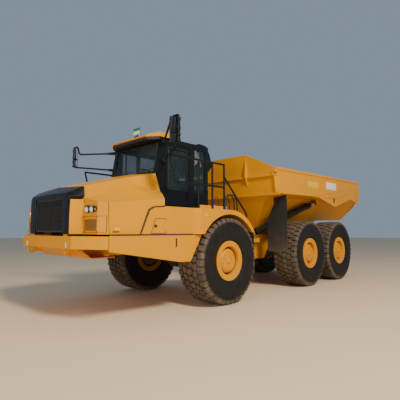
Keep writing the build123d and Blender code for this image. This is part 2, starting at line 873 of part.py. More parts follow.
def hood_plan(inset):
    """Plan outline of the hood: clipped front corners and slanted rear edges, kept from the open part."""
    with BuildSketch(Plane.XY.offset(hood_bottom - 2 * hood_wall)) as plan:
        with BuildLine():
            Polyline(
                (hood_front_x, 0),
                *[(hood_front_x + back, panel_half_width + out) for back, out in hood_corner],
                (hood_rear_x - hood_taper_length, panel_half_width + hood_bulge),
                (hood_rear_x, hood_half_rear),
                (hood_rear_x, 0),
            )
            mirror(about=Plane.XZ)
        make_face()
        if inset:
            offset(amount=-inset, kind=Kind.INTERSECTION)
    extrude(plan.sketch, amount=1500, mode=Mode.INTERSECT)


with BuildPart() as hood_core:
    hood_form(hood_wall, hood_wall)
    hood_plan(hood_wall)

hood_gap_x = fender_front_x - panel_gap
# columns: behind the gap, below the deck
hood_edge = [(back, drop - gap) for (back, drop), gap in zip(fender_nose, (8, 13, panel_gap))]
# columns: width, height, depth
vent_steps = [(400, 260, 4), (250, 160, 10)]
with BuildPart() as hood:
    hood_form(0, 0)
    hood_plan(0)
    add(hood_core.part, mode=Mode.SUBTRACT)
    # lower edge seen from the side, above the fender panel
    with BuildSketch(Plane.XZ):
        with BuildLine():
            Polyline(
                (hood_gap_x, hood_bottom - 20),
                (hood_gap_x, hood_bottom),
                *[(hood_gap_x + back, deck_z - drop) for back, drop in hood_edge],
                (hood_rear_x + 100, deck_z + panel_gap),
                (hood_rear_x + 100, hood_bottom - 20),
                close=True,
            )
        make_face()
    extrude(amount=2000, both=True, mode=Mode.SUBTRACT)
    # opening behind the grille
    with BuildSketch(Plane.YZ.offset(hood_front_x - 50)):
        with Locations((0, (hood_bottom - 20 + grille_top) / 2)):
            Rectangle(2 * grille_half_width, grille_top - hood_bottom + 20)
    extrude(amount=200, mode=Mode.SUBTRACT)
    # vent panels sunk into the front face below the headlamps, in two steps
    for vent_width, vent_height, vent_depth in vent_steps:
        with BuildSketch(Plane.YZ.offset(hood_front_x)):
            with Locations((vent_y, vent_z), (-vent_y, vent_z)):
                Rectangle(vent_width, vent_height)
        extrude(amount=vent_depth, mode=Mode.SUBTRACT)
hood.part.label = "hood"
export_step(hood.part, "parts/hood.step")

# Grille surround in front of the hood, flaring back to it
surround_half_front = 790
surround_half_rear = 965
surround_top_front = 2220
surround_top_rear = 2370
surround_flare = 50
surround_shoulder = 8
# columns: x, half width at the bottom, shoulder y, z, wing y, z, corner y, z, top z
surround_sections = [
    (
        surround_front_x,
        surround_half_front,
        surround_half_front + surround_shoulder,
        2060,
        surround_half_front,
        2150,
        surround_half_front - 55,
        surround_top_front - 12,
        surround_top_front,
    ),
    (
        hood_front_x - seat_gap,
        surround_half_front + surround_flare,
        surround_half_front + 60,
        2095,
        surround_half_rear,
        2140,
        surround_half_rear - 30,
        surround_top_rear - 50,
        surround_top_rear,
    ),
]
with BuildPart() as grille_surround:
    for x, low_y, shoulder_y, shoulder_z, wing_y, wing_z, corner_y, corner_z, top_z in surround_sections:
        with BuildSketch(Plane.YZ.offset(x)):
            with BuildLine():
                Polyline(
                    (0, hood_bottom),
                    (low_y, hood_bottom),
                    (shoulder_y, shoulder_z),
                    (wing_y, wing_z),
                    (corner_y, corner_z),
                    (0, top_z),
                )
                mirror(about=Plane.YZ)
            make_face()
    loft(ruled=True)
    with BuildSketch(Plane.YZ.offset(surround_front_x - 10)):
        with Locations((0, (grille_bottom + grille_top) / 2)):
            Rectangle(2 * grille_half_width, grille_top - grille_bottom)
    extrude(amount=400, mode=Mode.SUBTRACT)
grille_surround.part.label = "grille_surround"
export_step(grille_surround.part, "parts/grille_surround.step")

# Grille: a frame with upright and level bars, set back in the surround
grille_depth = 30
grille_border = 40
grille_setback = 35
level_bar = 22
upright_bar = 26
grille_x = surround_front_x + grille_setback
with BuildPart() as grille:
    with BuildSketch(Plane.YZ.offset(grille_x)):
        with Locations((0, (grille_bottom + grille_top) / 2)):
            Rectangle(2 * (grille_half_width - seat_gap), grille_top - grille_bottom - 2 * seat_gap)
            Rectangle(
                2 * (grille_half_width - grille_border),
                grille_top - grille_bottom - 2 * grille_border,
                mode=Mode.SUBTRACT,
            )
            with GridLocations(0, (grille_top - grille_bottom) / 8, 1, 7):
                Rectangle(2 * grille_half_width - grille_border / 2, level_bar)
            with GridLocations(grille_half_width / 2, 0, 3, 1):
                Rectangle(upright_bar, grille_top - grille_bottom - grille_border / 2)
    extrude(amount=grille_depth)
grille.part.label = "grille"
export_step(grille.part, "parts/grille.step")

# Headlamps on the hood's front corners
lamp_inner_y = 1000
lamp_inset = 250
lamp_outer_y = panel_half_width - lamp_inset
lamp_bottom = 1850
lamp_top = 1985
lamp_depth = 14
# columns: in from the outer edge, below the top
lamp_corner = [(20, 25), (0, 70), (30, 120)]
lens_z = 1908
lens_radius = 46
lens_first = 85
lens_pitch = 150
lens_depth = 12
with BuildPart() as headlamps:
    for side in (1, -1):
        with BuildSketch(Plane.YZ.offset(hood_front_x - seat_gap)):
            with BuildLine():
                Polyline(
                    (side * lamp_inner_y, lamp_bottom),
                    (side * lamp_inner_y, lamp_top),
                    *[(side * (lamp_outer_y - inset), lamp_top - drop) for inset, drop in lamp_corner],
                    close=True,
                )
            make_face()
        extrude(amount=-lamp_depth)
        # two round lenses
        with BuildSketch(Plane.YZ.offset(hood_front_x - lamp_depth)):
            first_lens_y = lamp_inner_y + lens_first
            with Locations((side * first_lens_y, lens_z), (side * (first_lens_y + lens_pitch), lens_z)):
                Circle(lens_radius)
        extrude(amount=-lens_depth)
headlamps.part.label = "headlamps"
export_step(headlamps.part, "parts/headlamps.step")

# Cab shell: hollow, with window openings, the door opening and its rear bulge
cab_floor_z = deck_z + seat_gap
window_height = 630
window_header = 110
side_window_height = 1000
screen_lean = 130
cab_nose_setback = 80
window_top = cab_top - window_header
window_bottom = window_top - window_height
side_window_bottom = window_top - side_window_height
pillar = 110
quarter_shift = 20
quarter_x = (door_rear_x + cab_rear_x) / 2 + quarter_shift
quarter_width = cab_rear_x - door_rear_x - 2 * (pillar + quarter_shift)
right_window_shift = 60
right_window_x = (cab_front_x + cab_rear_x) / 2 + right_window_shift
right_window_width = cab_rear_x - cab_front_x - 2 * (pillar + 2 * right_window_shift)
cab_housing_half = 720
# columns: behind the cab's rear wall, above the cab's top
housing_outline = [(60, -640), (290, -410), (200, -120), (60, 70), (-160, 85)]
housing_foot = 620
housing_lap = 5
housing_reach = 200
hinge_leaf_length = 60
door_leaf_length = 70
hinge_x = door_front_x - door_gap / 2
hinge_y = -cab_half_width - hinge_radius
with BuildPart() as cab_core:
    with BuildSketch(Plane.XZ):
        with BuildLine():
            Polyline(
                (cab_front_x + cab_wall + cab_nose_setback, cab_floor_z + cab_wall),
                (cab_front_x + cab_wall, window_bottom),
                (cab_front_x + cab_wall + screen_lean, cab_top - cab_wall),
                (cab_rear_x - cab_wall - quarter_shift, cab_top - cab_wall),
                (cab_rear_x - cab_wall, cab_floor_z + cab_wall),
                close=True,
            )
        make_face()
    extrude(amount=cab_half_width - cab_wall, both=True)

with BuildPart() as cab_shell:
    with BuildSketch(Plane.XZ):
        with BuildLine():
            Polyline(
                (cab_front_x + cab_nose_setback, cab_floor_z),
                (cab_front_x, window_bottom),
                (cab_front_x + screen_lean, cab_top),
                (cab_rear_x, cab_top),
                (cab_rear_x, cab_floor_z),
                close=True,
            )
        make_face()
    extrude(amount=cab_half_width, both=True)
    add(cab_core.part, mode=Mode.SUBTRACT)
    # windscreen and rear window
    with BuildSketch(Plane.YZ.offset(cab_front_x - 50)):
        with Locations((0, (window_bottom + window_top) / 2)):
            Rectangle(2 * (cab_half_width - pillar), window_top - window_bottom)
    extrude(amount=400, mode=Mode.SUBTRACT)
    with BuildSketch(Plane.YZ.offset(cab_rear_x - 200)):
        with Locations((0, (window_bottom + window_top) / 2)):
            Rectangle(2 * (cab_half_width - pillar), window_top - window_bottom)
    extrude(amount=400, mode=Mode.SUBTRACT)
    # door opening on the left side, side window on the right
    with BuildSketch(Plane.XZ.offset(cab_half_width - 200)):
        with Locations(((door_front_x + door_rear_x) / 2, (door_bottom + door_top) / 2)):
            Rectangle(door_rear_x - door_front_x + 2 * door_gap, door_top - door_bottom + 2 * door_gap)
        with Locations((quarter_x, (side_window_bottom + window_top) / 2)):
            Rectangle(quarter_width, window_top - side_window_bottom)
    extrude(amount=400, mode=Mode.SUBTRACT)
    with BuildSketch(Plane.XZ.offset(-cab_half_width - 200)):
        with Locations((right_window_x, (cab_sill + window_top) / 2)):
            Rectangle(right_window_width, window_top - cab_sill)
    extrude(amount=400, mode=Mode.SUBTRACT)
    # rounded housing on the cab's rear, above the bed's reach
    with BuildSketch(Plane.XZ):
        with BuildLine():
            Polyline(
                (cab_rear_x - housing_lap, cab_top - housing_foot),
                *[(cab_rear_x + back, cab_top + up) for back, up in housing_outline],
                (cab_rear_x - housing_reach, cab_top - housing_lap),
                (cab_rear_x - housing_lap, cab_top - housing_lap),
                close=True,
            )
        make_face()
    extrude(amount=cab_housing_half, both=True)
    # fixed knuckles of the door's hinges, each on a leaf
    for knuckle_z in hinge_z:
        with Locations((hinge_x, hinge_y, knuckle_z)):
            Cylinder(hinge_radius, hinge_length)
        with Locations((hinge_x - hinge_leaf_length / 2, -cab_half_width - hinge_leaf / 2, knuckle_z)):
            Box(hinge_leaf_length, hinge_leaf, hinge_length)
cab_shell.part.label = "cab_shell"
export_step(cab_shell.part, "parts/cab_shell.step")

# Cab glass: windscreen follows the shell's slope, the others are upright panes
glass_inset = 15
with BuildPart() as cab_glass:
    with BuildSketch(Plane.XZ):
        slope = screen_lean / (cab_top - window_bottom)
        front_top_x = cab_front_x + slope * (window_top - window_bottom)
        with BuildLine():
            Polyline(
                (cab_front_x + glass_inset, window_bottom + seat_gap),
                (cab_front_x + glass_inset + glass, window_bottom + seat_gap),
                (front_top_x + glass_inset + glass, window_top - seat_gap),
                (front_top_x + glass_inset, window_top - seat_gap),
                close=True,
            )
        make_face()
    extrude(amount=cab_half_width - pillar - seat_gap, both=True)
    with Locations((cab_rear_x - cab_wall / 2, 0, (window_bottom + window_top) / 2)):
        Box(glass, 2 * (cab_half_width - pillar - seat_gap), window_top - window_bottom - 2 * seat_gap)
    with Locations((quarter_x, -cab_half_width + cab_wall / 2, (side_window_bottom + window_top) / 2)):
        Box(quarter_width - 2 * seat_gap, glass, window_top - side_window_bottom - 2 * seat_gap)
    with Locations((right_window_x, cab_half_width - cab_wall / 2, (cab_sill + window_top) / 2)):
        Box(right_window_width - 2 * seat_gap, glass, window_top - cab_sill - 2 * seat_gap)
cab_glass.part.label = "cab_glass"
export_step(cab_glass.part, "parts/cab_glass.step")

# Roof cap over the front of the cab, with its visor edge and two raised ribs
roof_length = 560
roof_overhang = 20
roof_nose_flat = 260
roof_corner_back = 60
visor_reach = 130
rib_height = 10
rib_y = 430
rib_length = 420
rib_width = 300
roof_rear_x = cab_front_x + roof_length
with BuildPart() as cab_roof:
    with BuildSketch(Plane.XZ):
        with BuildLine():
            Polyline(
                (cab_front_x - visor_reach + rib_height, cab_top + seat_gap),
                (cab_front_x - visor_reach, cab_top + 25),
                (cab_front_x - roof_corner_back, roof_top - 35),
                (cab_front_x + roof_corner_back, roof_top - rib_height),
                (roof_rear_x - 80, roof_top - rib_height),
                (roof_rear_x, cab_top + seat_gap),
                close=True,
            )
        make_face()
    extrude(amount=cab_half_width + roof_overhang, both=True)
    # the cap's corners are clipped in plan
    with BuildSketch(Plane.XY.offset(cab_top)):
        with BuildLine():
            Polyline(
                (cab_front_x - visor_reach - rib_height, 0),
                (cab_front_x - visor_reach - rib_height, cab_half_width - roof_nose_flat),
                (cab_front_x + roof_corner_back, cab_half_width + roof_overhang),
                (roof_rear_x + rib_height, cab_half_width + roof_overhang),
                (roof_rear_x + rib_height, 0),
            )
            mirror(about=Plane.XZ)
        make_face()
    extrude(amount=2 * roof_height, mode=Mode.INTERSECT)
    for side in (1, -1):
        with Locations(((cab_front_x + roof_rear_x) / 2 + rib_height, side * rib_y, roof_top - rib_height)):
            Box(rib_length, rib_width, 2 * rib_height)
cab_roof.part.label = "cab_roof"
export_step(cab_roof.part, "parts/cab_roof.step")

# Cab door: frame with a window opening and a lower panel, hinged at its front edge
door_plate = 45
door_frame = 80
door_window_bottom = side_window_bottom + 20
door_window_top = door_top - door_frame
door_window_width = door_rear_x - door_front_x - 2 * door_frame
door_centre_x = (door_front_x + door_rear_x) / 2
handle_inset = 60
handle_width = 20
handle_reach = 24
handle_height = 180
with BuildPart() as cab_door:
    with BuildSketch(Plane.XZ.offset(cab_half_width - door_plate)):
        with Locations((door_centre_x, (door_bottom + door_top) / 2)):
            Rectangle(door_rear_x - door_front_x, door_top - door_bottom)
        with Locations((door_centre_x, (door_window_bottom + door_window_top) / 2)):
            Rectangle(door_window_width, door_window_top - door_window_bottom, mode=Mode.SUBTRACT)
    extrude(amount=door_plate)
    # handle on two feet
    with Locations((door_rear_x - handle_inset, -cab_half_width - handle_reach / 2, door_handle_z)):
        Box(handle_width, handle_reach, handle_height)
    # the door's own knuckles above the fixed ones, each on a leaf
    for knuckle_z in hinge_z:
        with Locations((hinge_x, hinge_y, knuckle_z + hinge_length + seat_gap)):
            Cylinder(hinge_radius, hinge_length)
        leaf_z = knuckle_z + hinge_length + seat_gap
        with Locations((hinge_x + door_leaf_length / 2, -cab_half_width - hinge_leaf / 2, leaf_z)):
            Box(door_leaf_length, hinge_leaf, hinge_length)
cab_door.part.label = "cab_door"
export_step(cab_door.part, "parts/cab_door.step")

with BuildPart() as door_glass:
    door_window_z = (door_window_bottom + door_window_top) / 2
    with Locations((door_centre_x, -cab_half_width + door_plate / 2, door_window_z)):
        Box(
            door_window_width - 2 * seat_gap,
            glass,
            door_window_top - door_window_bottom - 2 * seat_gap,
        )
door_glass.part.label = "door_glass"
export_step(door_glass.part, "parts/door_glass.step")

# Driver's place: seat, dash and steering column with its wheel, on one floor pan
seat_ahead = 450
seat_x = axle1_x - seat_ahead
cab_inside_z = cab_floor_z + cab_wall
pan_thickness = 20
pan_width = 500
pan_shift = 120
seat_box = 300
seat_width = 520
cushion_thickness = 130
cushion_height = 360
backrest_back = 260
backrest_size = (120, 500, 640)
backrest_height = 700
dash_behind_glass = 230
dash_size = (220, 900, 600)
column_foot_height = 500
column_top_height = 780
column_run = 170
column_radius = 30
steering_wheel_radius = 230
steering_wheel_rim = 25
spoke_width = 40
with BuildPart() as driver_place:
    with Locations(((cab_front_x + seat_x) / 2 + pan_shift, 0, cab_inside_z + seat_gap + pan_thickness / 2)):
        Box(seat_x - cab_front_x - pan_shift / 2, pan_width, pan_thickness)
    with Locations((seat_x, 0, cab_inside_z + seat_gap + seat_box / 2)):
        Box(seat_box, seat_box, seat_box)
    with Locations((seat_x, 0, cab_inside_z + cushion_height)):
        Box(seat_width, seat_width, cushion_thickness)
    with Locations((seat_x + backrest_back, 0, cab_inside_z + backrest_height)):
        Box(*backrest_size)
    # dash and steering column
    dash_x = cab_front_x + cab_wall + dash_behind_glass
    with Locations((dash_x, 0, cab_inside_z + seat_gap + dash_size[2] / 2)):
        Box(*dash_size)
    column_foot = Vector(dash_x, 0, cab_inside_z + column_foot_height)
    column_top = Vector(dash_x + column_run, 0, cab_inside_z + column_top_height)
    tube_between(column_foot, column_top, column_radius)
    with BuildSketch(Plane(origin=column_top, z_dir=column_top - column_foot)):
        Circle(steering_wheel_radius)
        Circle(steering_wheel_radius - steering_wheel_rim, mode=Mode.SUBTRACT)
        Rectangle(2 * steering_wheel_radius - spoke_width, spoke_width)
    extrude(amount=steering_wheel_rim)
driver_place.part.label = "driver_place"
export_step(driver_place.part, "parts/driver_place.step")

# Handrails round the deck: left and right sides alike, start and end of each run
rail_height = 985
rail_mid_height = 490
rail_front_ahead = 1640
rail_back_ahead = 60
rail_run_in = 130
post_ahead = (850, 440)
stair_start_height = 720
stair_bend_drop = 55
stair_inset = 40
stair_before_tip = 60
rail_top_z = deck_z + rail_height
rail_mid_z = deck_z + rail_mid_height
rail_front_x = axle1_x - rail_front_ahead
rail_back_x = axle1_x - rail_back_ahead
rail_foot_z = deck_z + seat_gap
stair_foot_rise = 117
stair_foot_z = fender_tip_z + stair_foot_rise
rail_runs = [
    ((rail_front_x, rail_y, rail_top_z), (rail_back_x, rail_y, rail_top_z)),
    ((rail_front_x + rail_run_in, rail_y, rail_mid_z), (rail_back_x, rail_y, rail_mid_z)),
    ((rail_front_x, rail_y, rail_top_z), (rail_front_x + rail_run_in, rail_y, rail_mid_z)),
    *[((axle1_x - x, rail_y, rail_foot_z), (axle1_x - x, rail_y, rail_top_z)) for x in post_ahead],
    ((rail_back_x, rail_y, rail_foot_z), (rail_back_x, rail_y, rail_top_z)),
]
stair_rail_x = fender_tip_x - stair_before_tip
stair_rail_y = -rail_y + stair_inset
stair_rail = [
    (rail_back_x, -rail_y, deck_z + stair_start_height),
    (stair_rail_x, stair_rail_y, deck_z - stair_bend_drop),
    (stair_rail_x, stair_rail_y, stair_foot_z),
]
with BuildPart() as handrails:
    for start, end in rail_runs:
        tube_between(start, end, rail_radius)
    mirror(about=Plane.XZ)
    # rail beside the steps, on the left only
    for start, end in zip(stair_rail, stair_rail[1:]):
        tube_between(start, end, rail_radius)
    with Locations(stair_rail[1]):
        Sphere(rail_radius)
handrails.part.label = "handrails"
export_step(handrails.part, "parts/handrails.step")

# Mirrors: two arms from each front pillar out to an upright, with two heads on it
mirror_ahead = 1750
mirror_y = 1950
mirror_drop = 380
mirror_rise = 120
arm_foot_setback = 165
arm_foot_out = 20
arm_radius = 16
arm_top_drop = 100
arm_low_drop = 520
arm_bend_inset = 300
arm_corner_inset = 200
mirror_x = axle1_x - mirror_ahead
mirror_low = cab_top - mirror_drop
mirror_high = cab_top + mirror_rise
arm_foot_x = cab_front_x + arm_foot_setback
arm_foot_y = cab_half_width + arm_foot_out
arm_top_z = cab_top - arm_top_drop
arm_low_z = cab_top - arm_low_drop
bend_y = mirror_y - arm_bend_inset
corner_y = mirror_y - arm_corner_inset
bracket_width = 90
bracket_height = 70
arm_runs = [
    ((arm_foot_x, arm_foot_y, arm_top_z), (mirror_x, bend_y, arm_top_z)),
    ((mirror_x, bend_y, arm_top_z), (mirror_x, corner_y, mirror_high)),
    ((mirror_x, corner_y, mirror_high), (mirror_x, mirror_y, mirror_high)),
    ((mirror_x, mirror_y, mirror_high), (mirror_x, mirror_y, mirror_low)),
    ((mirror_x, mirror_y, mirror_low), (arm_foot_x, arm_foot_y, arm_low_z)),
]
# columns: height of the centre, height of the head
mirror_heads = [(mirror_high - 170, 300), (mirror_low + 70, 180)]
head_depth = 60
head_width = 200
head_inset = 10
head_y = mirror_y - head_width / 2 - head_inset
with BuildPart() as mirrors:
    for start, end in arm_runs:
        tube_between(start, end, arm_radius)
    for start, end in arm_runs[1:]:
        with Locations(start):
            Sphere(arm_radius)
    # brackets on the cab's pillars
    for foot in (arm_runs[0][0], arm_runs[-1][1]):
        with Locations((foot[0], (cab_half_width + seat_gap + arm_foot_y + arm_foot_out) / 2, foot[2])):
            Box(bracket_width, arm_foot_y + arm_foot_out - cab_half_width - seat_gap, bracket_height)
    for head_z, head_height in mirror_heads:
        with Locations((mirror_x, head_y, head_z)):
            Box(head_depth, head_width, head_height)
    mirror(about=Plane.XZ)
mirrors.part.label = "mirrors"
export_step(mirrors.part, "parts/mirrors.step")

# Beacon on the cab's top, behind the roof cap
beacon_ahead = 700
beacon_inset = 160
beacon_radius = 55
beacon_height = 180
with BuildPart() as beacon:
    beacon_y = -cab_half_width + beacon_inset
    with Locations((axle1_x - beacon_ahead, beacon_y, cab_top + seat_gap + beacon_height / 2)):
        Cylinder(beacon_radius, beacon_height)
beacon.part.label = "beacon"
export_step(beacon.part, "parts/beacon.step")

# Plate on a short mast above the roof's front edge
mast_radius = 14
mast_setback = 115
mast_x = cab_front_x + mast_setback
mast_foot = 60
mast_foot_size = (90, 110)
mast_past_plate = 20
sign_width = 240
sign_height = 150
sign_plate = 8
sign_rise = 90
sign_bottom = roof_top + sign_rise
with BuildPart() as roof_sign:
    foot_z = roof_top - rib_height + seat_gap
    mast_top = sign_bottom + sign_height - mast_past_plate
    tube_between((mast_x, 0, foot_z), (mast_x, 0, mast_top), mast_radius)
    with Locations((mast_x, 0, foot_z + mast_foot / 2)):
        Box(*mast_foot_size, mast_foot)
    with Locations((mast_x - mast_radius, 0, sign_bottom + sign_height / 2)):
        Box(sign_plate, sign_width, sign_height)
roof_sign.part.label = "roof_sign"
export_step(roof_sign.part, "parts/roof_sign.step")

# Side hatch in the left fender panel, flush with it, with its latch
hatch_hinge_radius = 7
hatch_hinge_inset = 40
hatch_leaf_length = 44
hatch_leaf_inset = 20
latch_setback = 85
latch_radius = 20
latch_lift = 6
with BuildPart() as side_hatch:
    with BuildSketch(Plane.XZ.offset(panel_half_width - panel_plate + seat_gap)):
        with BuildLine():
            Polyline(*hatch_outline(0), close=True)
        make_face()
    extrude(amount=panel_plate - seat_gap)
    with BuildSketch(Plane.XZ.offset(panel_half_width)):
        with Locations((hatch_front_x + latch_setback, (hatch_bottom + hatch_top) / 2)):
            Circle(latch_radius)
    extrude(amount=latch_lift)
    # hinge barrel outside the rear edge
    hatch_hinge_x = hatch_rear_x + hatch_gap / 2
    hatch_hinge_y = -panel_half_width - hatch_hinge_radius
    tube_between(
        (hatch_hinge_x, hatch_hinge_y, hatch_bottom + hatch_hinge_inset),
        (hatch_hinge_x, hatch_hinge_y, hatch_top - hatch_hinge_inset),
        hatch_hinge_radius - seat_gap,
    )
    with Locations(
        (
            hatch_rear_x - hatch_leaf_inset,
            -panel_half_width - hatch_hinge_radius / 2,
            (hatch_bottom + hatch_top) / 2,
        )
    ):
        Box(hatch_leaf_length, hatch_hinge_radius, hatch_top - hatch_bottom - 2 * hatch_hinge_inset)
side_hatch.part.label = "side_hatch"
export_step(side_hatch.part, "parts/side_hatch.step")

# Hitch: upright hub with its pins, oscillation tube and the steering yoke
yoke_gap = 12
yoke_half_height = steer_eye_width / 2 + yoke_gap
yoke_plate = 30
pin_past_plate = 10
with BuildPart() as hitch:
    with Locations((hitch_x, 0, hitch_z)):
        Cylinder(hitch_hub_radius, 2 * (hitch_hub_half - seat_gap))
        Cylinder(hitch_pin_radius - seat_gap, 2 * (hitch_hub_half + hitch_plate + pin_past_plate))
    tube_between((hitch_x, 0, hitch_z), (ring_end_x + seat_gap, 0, hitch_z), oscillation_radius - seat_gap)
    tube_between(
        (ring_end_x + seat_gap, 0, hitch_z), (ring_end_x + retainer_width, 0, hitch_z), retainer_radius
    )
    for yoke_z in (steer_z + yoke_half_height, steer_z - yoke_half_height - yoke_plate):
        with BuildSketch(Plane.XY.offset(yoke_z)):
            with Locations((steer_head[0], 0)):
                Rectangle(2 * steer_eye_radius, 2 * steer_head[1])
            with Locations((steer_head[0], steer_head[1]), (steer_head[0], -steer_head[1])):
                Circle(steer_eye_radius)
        extrude(amount=yoke_plate)
hitch.part.label = "hitch"
export_step(hitch.part, "parts/hitch.step")

# Rear frame: ring on the oscillation tube, head box, rails, bogie trunnion, hoist feet and bed pivot
trunnion_x = (axle2_x + axle3_x) / 2
trunnion_radius = 90
beam_inner_y = 590
beam_width = 130
hoist_ear_half = hoist_eye_width / 2 + hoist_swing_gap
hoist_ear = 40
hoist_ear_foot = 60
hoist_ear_drop = 170
drop_bottom = 760
tail_bar = 60
tail_bar_half = 850
tail_bar_height = 120
tail_bar_rise = 90
tail_bar_lap = 5
lamp_box_inset = 170
lamp_box_size = (50, 300, 110)
trunnion_z = 1110
cheek_depth = 120
cheek_start = 60
cheek_length = 160
# half widths of the cheeks, inside at the ring, inside at its end and at the rails
cheek_half = (200, 215, 300)
bore_length = 500
retainer_room = 400
drop_setback = 60
drop_taper = 60
drop_rise = 20
drop_end_ahead = 560
drop_top_ahead = 330
drop_plate = 30
drop_plate_length = 200
drop_plate_back = 420
cross_z = 1250
cross_length = 160
cross_height = 200
cross_front_back = 480
cross_rear_ahead = 420
hoist_bracket_height = 120
hoist_pin_end = 25
pivot_pin_inset = 160
with BuildPart() as rear_frame:
    tube_between((ring_start_x, 0, hitch_z), (ring_end_x, 0, hitch_z), ring_radius)
    # side cheeks join the ring to the rails past the retainer
    cheek_end_x = ring_end_x + retainer_width + cheek_length
    for side in (1, -1):
        with BuildSketch(Plane.XY.offset(rear_rail_bottom - cheek_depth)):
            with BuildLine():
                Polyline(
                    (ring_start_x + cheek_start, side * cheek_half[0]),
                    (ring_end_x, side * cheek_half[1]),
                    (cheek_end_x, side * cheek_half[2]),
                    (cheek_end_x, side * (rear_rail_y + rear_rail_width / 2)),
                    (ring_end_x, side * (rear_rail_y + rear_rail_width / 2)),
                    (ring_start_x + cheek_start, side * cheek_half[2]),
                    close=True,
                )
            make_face()
        extrude(amount=rear_rail_top - rear_rail_bottom + cheek_depth)
    # bore for the oscillation tube and room for its retainer
    tube_cut = Plane(origin=(ring_start_x - running_gap, 0, hitch_z), z_dir=(1, 0, 0))
    with BuildSketch(tube_cut):
        Circle(oscillation_radius)
    extrude(amount=bore_length, mode=Mode.SUBTRACT)
    with BuildSketch(Plane(origin=(ring_end_x, 0, hitch_z), z_dir=(1, 0, 0))):
        Circle(retainer_radius + running_gap)
    extrude(amount=retainer_room, mode=Mode.SUBTRACT)
    rail_start_x = ring_end_x + drop_setback
    for side in (1, -1):
        with Locations(
            (
                (rail_start_x + rear_rail_end_x) / 2,
                side * rear_rail_y,
                (rear_rail_bottom + rear_rail_top) / 2,
            )
        ):
            Box(rear_rail_end_x - rail_start_x, rear_rail_width, rear_rail_top - rear_rail_bottom)
    # deep front part of the rails, seen behind the front wheels
    for side in (1, -1):
        with BuildSketch(Plane.XZ.offset(-side * rear_rail_y - rear_rail_width / 2)):
            with BuildLine():
                Polyline(
                    (rail_start_x, rear_rail_bottom + drop_rise),
                    (rail_start_x + drop_taper, drop_bottom),
                    (axle2_x - drop_end_ahead, drop_bottom),
                    (axle2_x - drop_top_ahead, rear_rail_bottom + drop_rise),
                    close=True,
                )
            make_face()
        extrude(amount=rear_rail_width)
    with Locations((ring_end_x + drop_plate_back, 0, drop_bottom + drop_plate / 2)):
        Box(drop_plate_length, 2 * rear_rail_y, drop_plate)
    # tail bar that carries the rear lamps, with a lamp box at each end
    tail_bar_z = rear_rail_bottom + tail_bar_rise
    with Locations((rear_rail_end_x + tail_bar / 2 - tail_bar_lap, 0, tail_bar_z)):
        Box(tail_bar, 2 * tail_bar_half, tail_bar_height)
    for side in (1, -1):
        with Locations((rear_rail_end_x + tail_bar, side * (tail_bar_half - lamp_box_inset), tail_bar_z)):
            Box(*lamp_box_size)
    # cross members
    for cross_x in (ring_end_x + cross_front_back, trunnion_x, pivot_x - cross_rear_ahead):
        with Locations((cross_x, 0, cross_z)):
            Box(cross_length, 2 * rear_rail_y, cross_height)
    # bogie trunnions
    for side in (1, -1):
        tube_between(
            (trunnion_x, side * rear_rail_y, trunnion_z),
            (trunnion_x, side * (beam_inner_y + beam_width), trunnion_z),
            trunnion_radius,
        )
    # hoist feet: a bracket on each side with two ears and a pin
    for foot_x, foot_y, foot_z in both_sides(hoist_foot):
        side = foot_y / abs(foot_y)
        inner_ear_y = abs(foot_y) - hoist_ear_half - hoist_ear
        with Locations(
            (
                (foot_x - hoist_ear_foot + cheek_end_x) / 2,
                side * (rear_rail_y + inner_ear_y + hoist_ear) / 2,
                foot_z - hoist_ear_drop,
            )
        ):
            Box(
                cheek_end_x - foot_x + hoist_ear_foot,
                inner_ear_y + hoist_ear - rear_rail_y,
                hoist_bracket_height,
            )
        with BuildSketch(Plane.XZ.offset(-side * inner_ear_y - (hoist_ear if side > 0 else 0))):
            with Locations((foot_x, foot_z)):
                Circle(hoist_eye_radius)
            with Locations((foot_x, foot_z - hoist_ear_drop / 2)):
                Rectangle(2 * hoist_ear_foot, hoist_ear_drop)
        extrude(amount=hoist_ear)
        tube_between(
            (foot_x, side * inner_ear_y, foot_z),
            (foot_x, side * (abs(foot_y) + hoist_ear_half + hoist_pin_end), foot_z),
            hoist_pin_radius - hoist_pin_gap,
        )
        # ball of the pin, on which the cylinder's eye can also turn sideways
        with Locations((foot_x, foot_y, foot_z)):
            Sphere(hoist_pin_radius - seat_gap)
    # bed pivot pins
    for side in (1, -1):
        tube_between(
            (pivot_x, side * (rear_rail_y - pivot_pin_inset), pivot_z - pivot_pin_drop),
            (pivot_x, side * (rear_rail_y + rear_rail_width / 2), pivot_z - pivot_pin_drop),
            pivot_pin_radius,
        )
rear_frame.part.label = "rear_frame"
export_step(rear_frame.part, "parts/rear_frame.step")

# Walking beams on the trunnions, above both bogie axles
beam_seat_z = axle_z + axle_tube_radius + seat_gap
beam_end_past = 120
beam_seat_length = 320
beam_belly = 300
beam_crown = 250
beam_bottom = 920
beam_end_top = 1160
beam_top = 1260
with BuildPart() as walking_beams:
    for side in (1, -1):
        with BuildSketch(Plane.XZ.offset(-side * (beam_inner_y + beam_width / 2) - beam_width / 2)):
            with BuildLine():
                Polyline(
                    (axle2_x - beam_end_past, beam_seat_z),
                    (axle2_x - beam_end_past + beam_seat_length, beam_seat_z),
                    (trunnion_x - beam_belly, beam_bottom),
                    (trunnion_x + beam_belly, beam_bottom),
                    (axle3_x + beam_end_past - beam_seat_length, beam_seat_z),
                    (axle3_x + beam_end_past, beam_seat_z),
                    (axle3_x + beam_end_past, beam_end_top),
                    (trunnion_x + beam_crown, beam_top),
                    (trunnion_x - beam_crown, beam_top),
                    (axle2_x - beam_end_past, beam_end_top),
                    close=True,
                )
            make_face()
            with Locations((trunnion_x, trunnion_z)):
                Circle(trunnion_radius + seat_gap, mode=Mode.SUBTRACT)
        extrude(amount=beam_width)
walking_beams.part.label = "walking_beams"
export_step(walking_beams.part, "parts/walking_beams.step")

